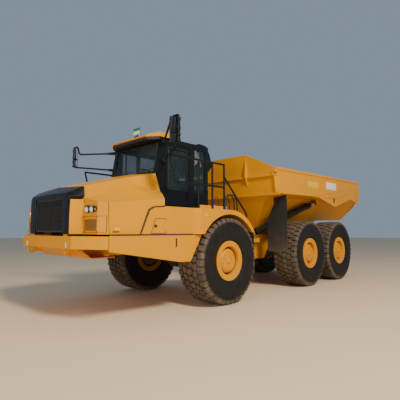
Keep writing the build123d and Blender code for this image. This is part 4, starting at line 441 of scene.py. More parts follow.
# Rubber flaps: black sheet behind the front wheels and ahead of the middle ones, dull and
# scuffed, with dried mud towards the bottom edge.
flap_rubber = Finish("flap_rubber")
mud_colour, mud_share = flap_rubber.dusted((0.018, 0.018, 0.019), (0.17, 0.13, 0.09), 0.3, 2.1)
flap_rubber.set(
    Base_Color=mud_colour,
    Roughness=0.62 + 0.25 * mud_share,
    Normal=flap_rubber.bump(flap_rubber.noise(14.0, 4.0), 0.25, 0.006),
)
dress(flap_rubber, "bed_flaps", "front_flaps")

# Front corners and side folds of the dump body: a folded post down each corner with a clamp
# at its top, a weld bead along each side's rising fold, and a dark slot below the fold.
# columns: place and height of the post's front edge, from the top down
POST_LINE = ((-0.258, 2.99), (-0.252, 2.93), (-0.213, 2.535))
# columns: distance behind that edge, half width
POST_SECTION = ((0.0, 1.585), (-0.052, 1.600), (-0.052, 1.625), (-0.006, 1.699), (0.0, 1.699))
FOLD = ((1.97, 2.585), (2.40, 2.655), (3.04, 2.755), (3.80, 2.880), (4.50, 2.990))
corner_posts, slot_cups = Shape(), Shape()
for side in (-1, 1):
    for (x1, z1), (x2, z2) in zip(POST_LINE, POST_LINE[1:]):
        section = [(x1 + dx, side * y, z1) for dx, y in POST_SECTION]
        corner_posts.plate(section, (x2 - x1, 0, z2 - z1), 0.006, 2)
    corner_posts.tube([side_point(side, x, z, 0.001) for x, z in FOLD], 0.009, 8)
    slot_cups.box(side_point(side, 3.087, 2.51), (0.060, 0.006, 0.12), 0.002)
corner_posts.pair((-0.285, 1.615, 3.085), (0.050, 0.120, 0.080), 0.008)
corner_posts.pair((-0.290, 1.560, 3.030), (0.036, 0.050, 0.130), 0.008)
corner_posts.piece("bed_corner_posts", enamel, "bed", "yellow_paint")
slot_cups.piece("bed_slot_cups", flap_rubber, "bed")

# Tyres: each is one ring with smooth dark sidewalls and a dusty tread of deep blocks. One
# pitch of the tyre is drawn, and it repeats round the axle.
SIDES = (("left", -1), ("right", 1))
AXLES = {"front": -2.160, "middle": 1.447, "rear": 3.413}
WHEEL_Y, WHEEL_Z = 1.3435, 0.920
PITCHES = 38
PITCH = 2 * math.pi / PITCHES
# columns: tread distance across, radius, base distance across, base radius, start, end
SHOULDER_BLOCK = (
    (0.212, 0.9115, 0.212, 0.872, -0.052, 0.046),
    (0.262, 0.9085, 0.262, 0.870, -0.066, 0.050),
    (0.322, 0.9060, 0.310, 0.860, -0.054, 0.060),
    (0.341, 0.868, 0.332, 0.832, -0.052, 0.058),
    (0.349, 0.832, 0.336, 0.815, -0.050, 0.055),
    (0.353, 0.800, 0.338, 0.790, -0.042, 0.047),
)
INNER_BLOCK = (
    (0.086, 0.9163, 0.086, 0.874, -0.030, 0.040),
    (0.112, 0.9152, 0.112, 0.873, -0.061, 0.055),
    (0.160, 0.9131, 0.160, 0.872, -0.050, 0.068),
    (0.192, 0.9117, 0.192, 0.871, -0.030, 0.040),
)
CENTRE_BLOCK = (
    (-0.066, 0.9171, -0.066, 0.876, -0.026, 0.032),
    (-0.036, 0.9184, -0.036, 0.876, -0.066, 0.050),
    (0.036, 0.9184, 0.036, 0.876, -0.050, 0.066),
    (0.066, 0.9171, 0.066, 0.876, -0.032, 0.026),
)


def arc_points(start, middle, end, count):
    """Points on the circle through three points."""
    (ax, ay), (bx, by), (cx, cy) = start, middle, end
    a, b, c = ax**2 + ay**2, bx**2 + by**2, cx**2 + cy**2
    d = 2 * (ax * (by - cy) + bx * (cy - ay) + cx * (ay - by))
    ux = (a * (by - cy) + b * (cy - ay) + c * (ay - by)) / d
    uy = (a * (cx - bx) + b * (ax - cx) + c * (bx - ax)) / d
    radius = math.hypot(ax - ux, ay - uy)
    first, last = math.atan2(ay - uy, ax - ux), math.atan2(cy - uy, cx - ux)
    turns = [first + (last - first) * i / (count - 1) for i in range(count)]
    return [(ux + radius * math.cos(turn), uy + radius * math.sin(turn)) for turn in turns]


def wheel_point(turn, across, radius):
    return (radius * math.sin(turn), across, radius * math.cos(turn))


def tread_block(shape, rows, side, shift):
    """One rubber block, added to a mesh, with its top edges eased."""
    rings = []
    for top_y, top_r, base_y, base_r, start, end in rows:
        a, b = (start / WHEEL_Z + shift) * side, (end / WHEEL_Z + shift) * side
        corners = ((a, top_y, top_r), (b, top_y, top_r), (b, base_y, base_r), (a, base_y, base_r))
        rings.append([shape.verts.new(wheel_point(turn, side * y, r)) for turn, y, r in corners])
    made = [shape.faces.new(rings[0]), shape.faces.new(rings[-1])]
    for lower, upper in zip(rings, rings[1:]):
        made += bridge(shape, lower, upper)
    bmesh.ops.recalc_face_normals(shape, faces=made)
    top = {v for ring in rings for v in ring[:2]}
    edges = {e for face in made for e in face.edges if top.issuperset(e.verts) and e.calc_face_angle(0) > 0.6}
    bmesh.ops.bevel(shape, geom=list(edges), offset=0.007, segments=1, affect="EDGES", clamp_overlap=True)


class Layout:
    """A geometry tree with named inputs."""

    KINDS = {float: "NodeSocketFloat", int: "NodeSocketInt", tuple: "NodeSocketVector"}

    def __init__(self, name, **inputs):
        self.tree = bpy.data.node_groups.new(name, "GeometryNodeTree")
        new_socket = self.tree.interface.new_socket
        new_socket("Geometry", in_out="INPUT", socket_type="NodeSocketGeometry")
        self.defaults, self.sockets = inputs, {}
        for key, value in inputs.items():
            kind = self.KINDS.get(type(value), "NodeSocketMaterial")
            self.sockets[key] = new_socket(key, in_out="INPUT", socket_type=kind)
        new_socket("Geometry", in_out="OUTPUT", socket_type="NodeSocketGeometry")
        self.inputs = self.tree.nodes.new("NodeGroupInput").outputs

    def node(self, kind, **sockets):
        """A node's first output; underscores in the names of its sockets stand for spaces."""
        made = self.tree.nodes.new(kind)
        for key, value in sockets.items():
            socket = made.inputs[key.replace("_", " ")]
            if isinstance(value, bpy.types.NodeSocket):
                self.tree.links.new(value, socket)
            else:
                socket.default_value = value
        return made.outputs[0]

    def times(self, one, two):
        made = self.tree.nodes.new("ShaderNodeMath")
        made.operation = "MULTIPLY"
        self.tree.links.new(one, made.inputs[0])
        if isinstance(two, bpy.types.NodeSocket):
            self.tree.links.new(two, made.inputs[1])
        else:
            made.inputs[1].default_value = two
        return made.outputs[0]

    def end(self, geometry, material):
        """Realises the instances and sets their material."""
        real = self.node("GeometryNodeRealizeInstances", Geometry=geometry)
        painted = self.node("GeometryNodeSetMaterial", Geometry=real, Material=material)
        self.tree.links.new(painted, self.tree.nodes.new("NodeGroupOutput").inputs[0])

    def grow(self, name, mesh, body, slot=None, **values):
        """The tree's result on a mesh, as a plain piece that rides on a body."""
        seed = placed(name + "_seed", mesh)
        modifier = seed.modifiers.new("layout", "NODES")
        modifier.node_group = self.tree
        for key, socket in self.sockets.items():
            value = values.get(key, self.defaults[key])
            modifier[socket.identifier] = value.material if isinstance(value, Finish) else value
        evaluated = seed.evaluated_get(bpy.context.evaluated_depsgraph_get())
        result = bpy.data.meshes.new_from_object(evaluated)
        result.name = name
        bpy.data.objects.remove(seed)
        piece = placed(name, result)
        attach(piece, body)
        return piece


def tyre_finish(name, axle_x):
    """Rubber centred on one axle: brown dust in the tread, dark sidewalls with fine rings."""
    rubber = Finish("tyre_rubber_" + name)
    to_axle = {"Vector": rubber.place, "Location": (-axle_x, 0, -WHEEL_Z)}
    centred = rubber.node("ShaderNodeMapping", {}, to_axle)
    flat = rubber.node("ShaderNodeVectorMath", {"operation": "MULTIPLY"}, {0: centred, 1: (1, 0, 1)})
    radius = rubber.node("ShaderNodeVectorMath", {"operation": "LENGTH"}, {0: flat}, "Value")
    tread = radius.step(0.79, 0.86)
    blotch = rubber.noise(7.0, 5.0, 0.6).step(0.3, 0.75)
    dust = tread * (0.45 + 0.55 * blotch) + (1 - tread) * 0.06 * blotch
    rings = radius.maths("SINE", radius * 420.0) * radius.step(0.50, 0.51) * (1 - radius.step(0.55, 0.56))
    relief = rubber.noise(60.0, 3.0) * 0.5 + rings * 0.3 + 0.7 * blotch * tread
    rubber.set(
        Base_Color=rubber.blend(dust, (0.010, 0.010, 0.011), (0.175, 0.132, 0.092)),
        Roughness=0.62 + 0.3 * dust,
        Specular_IOR_Level=0.25,
        Normal=rubber.bump(relief, 0.5, 0.004),
    )
    return rubber


# columns: distance across, radius
half_profile = [(0.298, 0.331), (0.298, 0.424), (0.306, 0.440), (0.322, 0.452), (0.328, 0.470)]
half_profile += [(0.326, 0.486)] + arc_points((0.334, 0.50), (0.360, 0.645), (0.350, 0.770), 9)
half_profile += [(0.345, 0.782), (0.343, 0.800), (0.334, 0.834), (0.312, 0.866), (0.20, 0.876)]
profile = half_profile + [(0, 0.880)] + [(-y, r) for y, r in reversed(half_profile)]
sector = bmesh.new()
columns = []
for turn in (-PITCH / 2, 0, PITCH / 2):
    columns.append([sector.verts.new(wheel_point(turn, y, r)) for y, r in profile])
for left, right in zip(columns, columns[1:]):
    bridge(sector, left, right)
bmesh.ops.recalc_face_normals(sector, faces=sector.faces)
crown = [f for f in sector.faces if f.calc_center_median().z > 0.86]
if sum(f.normal.dot(f.calc_center_median()) for f in crown) < 0:
    bmesh.ops.reverse_faces(sector, faces=sector.faces)
for side, shift in ((1, 0), (-1, PITCH / 2)):
    tread_block(sector, SHOULDER_BLOCK, side, shift)
    tread_block(sector, INNER_BLOCK, side, shift + PITCH / 2)
tread_block(sector, CENTRE_BLOCK, 1, PITCH / 4)
sector_mesh = bpy.data.meshes.new("tyre_pitch")
sector.to_mesh(sector_mesh)
sector.free()

rubbers = {axle: tyre_finish(axle, x) for axle, x in AXLES.items()}
around = Layout("tyre_around", Count=PITCHES, Turn=PITCH, Centre=(0.0, 0.0, 0.0), Rubber=rubbers["front"])
points = around.node("GeometryNodePoints", Count=around.inputs["Count"])
angle = around.times(around.node("GeometryNodeInputIndex"), around.inputs["Turn"])
euler = around.node("ShaderNodeCombineXYZ", Y=angle)
rotation = around.node("FunctionNodeEulerToRotation", Euler=euler)
seed_mesh = around.inputs["Geometry"]
ring = around.node("GeometryNodeInstanceOnPoints", Points=points, Instance=seed_mesh, Rotation=rotation)
solid = around.node("GeometryNodeRealizeInstances", Geometry=ring)
welded = around.node("GeometryNodeMergeByDistance", Geometry=solid, Distance=0.0003)
centred = around.node("GeometryNodeTransform", Geometry=welded, Translation=around.inputs["Centre"])
around.end(centred, around.inputs["Rubber"])
for axle, x in AXLES.items():
    for side_name, side in SIDES:
        name, body = f"tyre_tread_{axle}_{side_name}", f"wheel_{axle}_{side_name}"
        centre = (x, side * WHEEL_Y, WHEEL_Z)
        tyre = around.grow(name, sector_mesh, body, "tyre_rubber", Centre=centre, Rubber=rubbers[axle])
        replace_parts(tyre, f"tyre_{axle}_{side_name}")

# Rims: yellow enamel like the body, with painted shade that darkens the recess between flange and
# hub, beads round the edges, a ring of wheel nuts, and a ring of screws, three lugs and a cap on the hub.
HUB_FACE, DISC_FACE, LUG_FACE = 0.285, 0.176, 0.287
NUT_RING, HUB_SCREW_RING, HUB_SCREW_START = 0.262, 0.165, 0.2
HUB_SCREW_FACE, RIM_FACE_LIMIT = 0.2805, 0.30
# columns: radius, distance out from the wheel's middle, thickness
RIM_BEADS = ((0.388, 0.3165, 0.007), (0.347, 0.309, 0.004), (0.205, 0.2855, 0.006), (0.100, 0.2855, 0.005))
HUB_CAP = [(0.0, 0.022), (0.050, 0.022), (0.060, 0.012), (0.064, -0.002), (0.0, -0.002)]
LUG_RADIUS, LUG_TURNS, LUG_SIZE = 0.145, (0.5, 2.6, 4.7), (0.075, 0.014, 0.030)
FACING = {
    "left": (math.pi / 2, 0.0, 0.0),
    "right": (-math.pi / 2, 0.0, 0.0),
    "front": (0.0, -math.pi / 2, 0.0),
    "up": (0.0, 0.0, 0.0),
}
rim_enamel, rim_colour, _ = yellow_paint("rim_enamel")
# Painted shade: the recess between flange and hub is darkened in the paint colour, with some noise, and made
# rougher.
rim_recess = 1 - abs(rim_enamel.axis(rim_enamel.place, "Y")).step(1.535, 1.618)
rim_recess_shade = rim_recess * (0.55 + 0.4 * rim_enamel.noise(9.0, 4.0))
rim_enamel.set(
    Base_Color=rim_enamel.blend(rim_recess_shade, rim_colour, (0.12, 0.055, 0.016)),
    Roughness=0.40 + 0.4 * rim_recess_shade,
    Normal=rim_enamel.bump(rim_enamel.noise(240.0, 1.0), 0.05, 0.003),
)
bolt_steel = mottled(
    "bolt_steel", (30.0, 3.0), (0.20, 0.17, 0.13), (0.34, 0.30, 0.25), (0.42, 0.2, 80.0, 2.0), Metallic=0.8
)
bolts = Layout("bolts", Radius=0.012, Height=0.01, Turn=(0.0, 0.0, 0.0), Finish=bolt_steel)
radius, height = bolts.inputs["Radius"], bolts.inputs["Height"]
head = bolts.node("GeometryNodeMeshCylinder", Vertices=6, Radius=radius, Depth=height)
washer_radius, washer_depth = bolts.times(radius, 1.45), bolts.times(height, 0.3)
washer = bolts.node("GeometryNodeMeshCylinder", Vertices=14, Radius=washer_radius, Depth=washer_depth)
lift = bolts.node("ShaderNodeCombineXYZ", Z=bolts.times(height, 0.5))
raised = bolts.node("GeometryNodeTransform", Geometry=head, Translation=lift)
both = bolts.tree.nodes.new("GeometryNodeJoinGeometry")
bolts.tree.links.new(raised, both.inputs[0])
bolts.tree.links.new(washer, both.inputs[0])
upright = bolts.node("FunctionNodeEulerToRotation", Euler=bolts.inputs["Turn"])
places, bolt = bolts.inputs["Geometry"], both.outputs[0]
seated = bolts.node("GeometryNodeInstanceOnPoints", Points=places, Instance=bolt, Rotation=upright)
bolts.end(seated, bolts.inputs["Finish"])


def bolt_set(name, places, facing, body, radius, height, finish=bolt_steel):
    """Bolt heads with washers at a list of places, all facing one way."""
    seeds = bpy.data.meshes.new(name + "_places")
    seeds.from_pydata(places, [], [])
    bolts.grow(name, seeds, body, Radius=radius, Height=height, Turn=FACING[facing], Finish=finish)


def ring_places(centre, radius, count, start=0.0):
    """Places round a centre, in the plane of a wheel."""
    x, y, z = centre
    turns = [start + 2 * math.pi * i / count for i in range(count)]
    return [(x + radius * math.cos(turn), y, z + radius * math.sin(turn)) for turn in turns]


for axle, x in AXLES.items():
    for side_name, side in SIDES:
        body = f"wheel_{axle}_{side_name}"
        dress(rim_enamel, f"rim_{axle}_{side_name}")
        rings = Shape()
        for r, y, thick in RIM_BEADS:
            bead = [(r + thick * math.cos(a), thick * math.sin(a)) for a in (0.0, 0.8, 1.57, 2.34, math.pi)]
            rings.lathe([*bead, (r, -0.002), bead[0]], (x, side * (WHEEL_Y + y), WHEEL_Z), (0, side, 0), 40)
        rings.lathe(HUB_CAP, (x, side * (WHEEL_Y + HUB_FACE), WHEEL_Z), (0, side, 0), 24)
        for turn in LUG_TURNS:
            along, up = LUG_RADIUS * math.cos(turn), LUG_RADIUS * math.sin(turn)
            lug = (x + along, side * (WHEEL_Y + LUG_FACE), WHEEL_Z + up)
            rings.box(lug, LUG_SIZE, 0.005, 2, (0, -turn, 0))
        rings.piece(f"rim_rings_{axle}_{side_name}", enamel, body, "yellow_paint")
        nuts = ring_places((x, side * (WHEEL_Y + DISC_FACE), WHEEL_Z), NUT_RING, 20)
        bolt_set(f"wheel_nuts_{axle}_{side_name}", nuts, side_name, body, 0.013, 0.022, enamel)
        low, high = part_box(f"rim_{axle}_{side_name}")
        face_y = max(low.y * side, high.y * side)
        hub_y = side * (face_y if face_y < WHEEL_Y + RIM_FACE_LIMIT else WHEEL_Y + HUB_SCREW_FACE)
        cover = ring_places((x, hub_y, WHEEL_Z), HUB_SCREW_RING, 12, HUB_SCREW_START)
        bolt_set(f"hub_bolts_{axle}_{side_name}", cover, side_name, body, 0.012, 0.014, enamel)

# Small blank labels in yellow, one on each fender above the wheel arch, and one low down on
# each flank of the hood, which tilts with it.
fender_labels, hood_labels = Shape(), Shape()
fender_labels.pair((-2.938, 1.7012, 1.868), (0.075, 0.002, 0.055))
hood_labels.pair((-4.930, 1.5935, 1.585), (0.120, 0.002, 0.045))
fender_labels.piece("fender_labels", plate_yellow, "tractor")
hood_labels.piece("hood_labels", plate_yellow, "hood")

# Hood: pressed sheet in yellow enamel, with a shut line down each side, a screwed cover at
# each front corner, and a wire screen over the vent in the cover.
SHUT_X, HOOD_NOSE_X = -5.045, -5.161
COVER_BACK_X, COVER_INNER_Y, COVER_LOW, COVER_HIGH = -5.073, 0.945, 1.530, 1.795
FLANK_Y = (1.43, 1.45)
VENT_WIDTH, VENT_HEIGHT, VENT_EDGE = (0.960, 1.353), (1.555, 1.750), 0.008
SCREEN_WIRE, VENT_CENTRE = 0.0014, (-5.1575, 1.156, 1.653)


def groove(distance, width):
    """1 within a width of the place where a distance is nought."""
    return 1 - abs(distance).step(0.55 * width, width)


def between(value, low, high, soft):
    """1 from low to high, with a soft edge inside each."""
    return value.step(low, low + soft) * (1 - value.step(high - soft, high))


hood_enamel, hood_colour, hood_dust = yellow_paint("hood_enamel")
hood_x = hood_enamel.axis(hood_enamel.place, "X")
hood_y = abs(hood_enamel.axis(hood_enamel.place, "Y"))
hood_z = hood_enamel.axis(hood_enamel.place, "Z")
shut_line = groove(hood_x - SHUT_X, 0.0055) * hood_y.step(*FLANK_Y)
cover_height = between(hood_z, COVER_LOW - 0.001, COVER_HIGH + 0.001, 0.002)
cover_width = hood_y.step(COVER_INNER_Y - 0.001, COVER_INNER_Y + 0.001) * (1 - hood_x.step(-5.075, -5.070))
level_lines = (groove(hood_z - COVER_HIGH, 0.004) + groove(hood_z - COVER_LOW, 0.004)) * cover_width
inner_line = groove(hood_y - COVER_INNER_Y, 0.004) * (1 - hood_x.step(-5.13, -5.12))
back_line = groove(hood_x - COVER_BACK_X, 0.004) * hood_y.step(*FLANK_Y)
lines = shut_line.maths("MAXIMUM", shut_line, level_lines + (inner_line + back_line) * cover_height)
# Painted shade: the vent opening behind the wire screen is darkened in the hood's own colour.
vent_shade = between(hood_y, *VENT_WIDTH, VENT_EDGE)
vent_shade = vent_shade * between(hood_z, *VENT_HEIGHT, VENT_EDGE) * (1 - hood_x.step(-5.12, -5.11))
shaded = hood_enamel.blend(0.75 * vent_shade, hood_colour, (0.20, 0.085, 0.012))
hood_enamel.set(
    Base_Color=hood_enamel.blend(lines, shaded, (0.02, 0.012, 0.004)),
    Roughness=0.38 + 0.45 * hood_dust,
    Coat_Roughness=0.15,
    Normal=hood_enamel.bump(ripples(hood_enamel) - 0.5 * lines, 0.22, 0.012),
)
dress(hood_enamel, "hood")
black_plastic = mottled(
    "black_plastic", (12.0, 3.0), (0.016, 0.016, 0.018), (0.030, 0.029, 0.028), (0.48, 0.15, 35.0, 2.0),
    (500.0, 1.0, 0.2, 0.001),
)
corner_screws = []
for side in (-1, 1):
    screws = ((0.945, 2.055), (0.958, 1.545), (0.958, 1.780), (1.375, 1.545), (1.375, 1.780))
    corner_screws += [(HOOD_NOSE_X, side * y, z) for y, z in screws]
bolt_set("hood_screws", corner_screws, "front", "hood", 0.008, 0.006, black_plastic)

wire_screen = Layout(
    "wire_screen",
    Width=1.0, Height=1.0, Across=40, Up=20, Wire=0.0015, Centre=(0.0, 0.0, 0.0), Finish=black_plastic,
)
screen_inputs = ("Width", "Height", "Across", "Up", "Wire")
size_x, size_y, across, up, wire = (wire_screen.inputs[key] for key in screen_inputs)
net = wire_screen.node("GeometryNodeMeshGrid", Size_X=size_x, Size_Y=size_y, Vertices_X=across, Vertices_Y=up)
strands = wire_screen.node("GeometryNodeMeshToCurve", Mesh=net)
round_wire = wire_screen.node("GeometryNodeCurvePrimitiveCircle", Resolution=4, Radius=wire)
wires = wire_screen.node("GeometryNodeCurveToMesh", Curve=strands, Profile_Curve=round_wire)
stood = wire_screen.node(
    "GeometryNodeTransform",
    Geometry=wires, Translation=wire_screen.inputs["Centre"], Rotation=(0.0, math.pi / 2, 0.0),
)
wire_screen.end(stood, wire_screen.inputs["Finish"])
blank_mesh = bpy.data.meshes.new("screen_seed")
blank_mesh.from_pydata([(0, 0, 0)], [], [])
screen_grey = mottled(
    "screen_grey", (6.0, 3.0), (0.42, 0.22, 0.05), (0.30, 0.19, 0.08), (0.55, 0.1, 30.0, 2.0), Metallic=0.2
)
for side_name, side in SIDES:
    centre = (VENT_CENTRE[0], side * VENT_CENTRE[1], VENT_CENTRE[2])
    wire_screen.grow(
        f"vent_screen_{side_name}", blank_mesh, "hood",
        Width=0.182, Height=0.376, Across=14, Up=27, Wire=SCREEN_WIRE, Centre=centre, Finish=screen_grey,
    )

# Front mask: one thick black moulding round the grille, glossy, with a wing swept back at
# each upper corner. Its edges are rounded, so it stands in for the plain CAD form, and a
# yellow cover closes each side of it.
# columns: half width and height of each corner
MASK_FRONT = ((0.790, 1.50), (0.798, 2.060), (0.790, 2.150), (0.735, 2.208), (0.0, 2.220))
MASK_BACK = ((0.840, 1.50), (0.850, 2.095), (0.965, 2.140), (0.935, 2.320), (0.0, 2.370))
MASK_OPENING = ((0.575, 1.50), (0.575, 2.060), (0.575, 2.10), (0.575, 2.130), (0.0, 2.130))
# columns: place along the truck, half width
SIDE_COVER = ((-5.348, 0.797), (-5.161, 0.925), (-5.161, 0.800))
SIDE_COVER_FOOT, SIDE_COVER_HEIGHT = 1.502, 0.590
gloss_black = Finish("gloss_black")
mask_scuff = gloss_black.noise(5.0, 5.0, 0.6).step(0.5, 0.8)
gloss_black.set(
    Base_Color=gloss_black.blend(mask_scuff * 0.3, (0.006, 0.007, 0.009), (0.06, 0.05, 0.045)),
    Roughness=0.30 + 0.25 * mask_scuff,
    Specular_IOR_Level=0.22,
    Coat_Weight=0.05,
    Coat_Roughness=0.10,
    Normal=gloss_black.bump(gloss_black.noise(3.0, 2.0), 0.10, 0.008),
)
mask = bmesh.new()
front_x, back_x = (corner.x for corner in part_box("grille_surround"))
loops = []
rims = ((front_x, MASK_OPENING), (front_x, MASK_FRONT), (back_x, MASK_BACK), (back_x, MASK_OPENING))
for x, outline in rims:
    right = [mask.verts.new((x, y, z)) for y, z in outline]
    left = [mask.verts.new((x, -y, z)) for y, z in outline[-2::-1]]
    loops.append(right + left)
for loop, following in zip(loops, loops[1:] + loops[:1]):
    for a, b, c, d in zip(loop, loop[1:], following[1:], following):
        mask.faces.new((a, b, c, d))
for end in (0, -1):
    mask.faces.new([loop[end] for loop in loops])
bmesh.ops.recalc_face_normals(mask, faces=mask.faces)
mask_shape = Shape()
mask_shape.ease(mask, 0.016, 3, 0.35)
mask_shape.add(mask)
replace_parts(mask_shape.piece("front_mask", gloss_black, "hood", "black_paint", 0.5), "grille_surround")
side_covers = Shape()
for side in (-1, 1):
    foot = [(x, side * y, SIDE_COVER_FOOT) for x, y in SIDE_COVER]
    side_covers.plate(foot, (0, 0, SIDE_COVER_HEIGHT), 0.006, 2)
side_covers.piece("mask_side_covers", hood_enamel, "hood", "yellow_paint")

# Grille: the moulded bars stand behind a fine black wire screen, held by a flat frame, and
# ahead of a solid dark sheet, which is painted shade for the space behind the grille.
GRILLE_X, GRILLE_Z = -5.336, 1.83
dress(black_plastic, "grille")
wire_screen.grow(
    "grille_screen", blank_mesh, "hood",
    Width=0.60, Height=1.148, Across=45, Up=85, Wire=0.0017, Centre=(-5.333, 0.0, GRILLE_Z),
)
grille_frame = Shape()
for y in (-0.555, 0.555):
    grille_frame.box((GRILLE_X, y, GRILLE_Z), (0.012, 0.034, 0.60), 0.004)
for z in (1.547, 2.113):
    grille_frame.box((GRILLE_X, 0, z), (0.012, 1.144, 0.034), 0.004)
for y in (-0.19, 0.19):
    grille_frame.box((GRILLE_X - 0.001, y, GRILLE_Z), (0.006, 0.012, 0.57), 0.002)
grille_frame.piece("grille_frame", black_plastic, "hood", "black_plastic")
# Painted shade: an opaque dark sheet behind the grille stands in for the shade inside it.
grille_shade_sheet = Shape()
grille_shade_sheet.box((-5.288, 0, GRILLE_Z), (0.006, 1.14, 0.59), 0.002)
grille_shade_sheet.piece("grille_dust_screen", flap_rubber, "hood")

# Headlamps: two round lamps behind clear lenses and a small amber side lamp in one black
# housing at each front corner.
LAMP_Y, LAMP_Z = (1.085, 1.235), 1.908
BEZEL = [(0.036, 0.0), (0.052, 0.0), (0.054, 0.010), (0.050, 0.017), (0.044, 0.017), (0.040, 0.008)]
LENS_PROFILE = [(0.0, 0.016), (0.020, 0.0145), (0.034, 0.011), (0.043, 0.005), (0.043, 0.001), (0.0, 0.001)]
lamp_chrome = mottled(
    "lamp_reflector", (60.0, 1.0), (0.80, 0.80, 0.82), (0.65, 0.66, 0.70), (0.12, 0.1, 90.0, 1.0),
    Metallic=1.0,
)
lamp_glass = mottled(
    "lamp_glass", (40.0, 2.0), (0.86, 0.90, 0.94), (0.74, 0.80, 0.86), (0.06, 0.05, 60.0, 1.0),
    Emission_Strength=0.25, Coat_Weight=1.0, Coat_Roughness=0.02,
)
glow = lamp_glass.blend(lamp_glass.noise(30.0, 1.0), (0.75, 0.82, 0.90), (0.60, 0.68, 0.76))
lamp_glass.set(Emission_Color=glow)
amber = mottled(
    "amber_plastic", (40.0, 2.0), (0.90, 0.16, 0.01), (0.95, 0.24, 0.02), (0.18, 0.1, 60.0, 2.0),
    (90.0, 1.0, 0.2, 0.001), Coat_Weight=0.8,
)
dress(black_plastic, "headlamps")
lamp_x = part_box("headlamps")[0].x
bezels, lenses, side_lamps = Shape(), Shape(), Shape()
for side in (-1, 1):
    for y in LAMP_Y:
        bezels.lathe([*BEZEL, BEZEL[0]], (lamp_x + 0.004, side * y, LAMP_Z), (-1, 0, 0), 28)
        lenses.lathe(LENS_PROFILE, (lamp_x + 0.001, side * y, LAMP_Z), (-1, 0, 0), 28)
side_lamps.pair((lamp_x + 0.007, 1.335, LAMP_Z - 0.002), (0.012, 0.020, 0.036), 0.004)
bezels.piece("headlamp_bezels", lamp_chrome, "hood")
lenses.piece("headlamp_lenses", lamp_glass, "hood")
side_lamps.piece("side_lamps", amber, "hood", "amber_plastic")

# Bumper: a bent yellow band with a pan below it, tow eyes, a white reflector above each eye,
# and four bolts a side.
dress(enamel, "bumper")
reflectors = Shape()
reflectors.pair((-5.4005, 0.805, 1.320), (0.006, 0.030, 0.085), 0.002)
reflectors.piece("bumper_reflectors", plate_white, "tractor")
bumper_bolts = [(-5.401, side * y, z) for side in (-1, 1) for y in (0.30, 0.62) for z in (1.30, 1.43)]
bolt_set("bumper_bolts", bumper_bolts, "front", "tractor", 0.011, 0.009, enamel)

# Skirts: removable yellow side panels, bolted at both ends, each with a dark cup behind its
# finger slot and a black seal along the gap to the hood.
SKIRT_Y = 1.621
SKIRT_BOLTS = ((-3.164, 1.24), (-3.164, 1.29), (-3.164, 1.37), (-3.164, 1.42), (-5.03, 1.30), (-5.03, 1.43))
dress(enamel, "skirts")
for side_name, side in SIDES:
    skirt_bolts = [(x, side * SKIRT_Y, z) for x, z in SKIRT_BOLTS]
    bolt_set(f"skirt_bolts_{side_name}", skirt_bolts, side_name, "tractor", 0.008, 0.006, enamel)
seal_z = (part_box("skirts")[1].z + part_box("hood")[0].z) / 2
skirt_seals, slot_backs = Shape(), Shape()
skirt_seals.pair((-4.055, 1.6115, seal_z), (1.92, 0.031, 0.024), 0.004)
slot_backs.pair((-3.66, 1.600, 1.335), (0.07, 0.008, 0.20), 0.002)
skirt_seals.piece("skirt_seals", black_plastic, "tractor", "black_plastic")
slot_backs.piece("skirt_slot_cups", black_plastic, "tractor", "black_plastic")

# Deck, fenders and side hatch: folded plate with gritty walkway mats, a black seal along the
# edge to the hood and another round the hatch, and a black turn latch on the hatch.
LATCH = [(0, 0.012), (0.014, 0.012), (0.017, 0.008), (0.026, 0.006), (0.028, 0.0), (0, 0.0)]
HATCH_LOW, HATCH_HIGH, HATCH_BACK = 1.514, 1.773, -3.917
HATCH_LINE = (
    (-4.254, HATCH_LOW), (-4.160, HATCH_HIGH), (HATCH_BACK, HATCH_HIGH), (HATCH_BACK, HATCH_LOW),
    (-4.250, HATCH_LOW),
)
MATS_X = (-2.93, -2.62, -2.31)
FENDER_LINE = ((-4.474, 1.500), (-4.289, 1.918), (-4.186, 1.974), (-3.94, 1.996))
dress(enamel, "deck", "side_hatch")
grip = mottled(
    "walkway_grip", (30.0, 4.0), (0.030, 0.030, 0.032), (0.075, 0.065, 0.052), (0.8, 0.15, 12.0, 2.0),
    (220.0, 2.0, 0.7, 0.003),
)
mats, fender_seals = Shape(), Shape()
for x in MATS_X:
    mats.pair((x, 1.20, 2.0025), (0.27, 0.52, 0.004), 0.0015, 1)
for side in (-1, 1):
    fender_seals.tube([(x, side * 1.6125, z) for x, z in FENDER_LINE], 0.013, 8)
mats.piece("walkway_mats", grip, "tractor")
latch = Shape()
latch.lathe(LATCH, (-4.165, -1.626, 1.6435), (0, -1, 0), 20)
latch.box((-4.150, -1.637, 1.6435), (0.050, 0.008, 0.016), 0.003)
latch.piece("hatch_latch", black_plastic, "hatch", "black_plastic")
hatch_seal = Shape()
hatch_seal.tube([(x, -1.6195, z) for x, z in HATCH_LINE], 0.0055, 6)
hatch_seal.piece("hatch_seal", black_plastic, "tractor", "black_plastic")
fender_seals.piece("fender_seals", black_plastic, "tractor", "black_plastic")

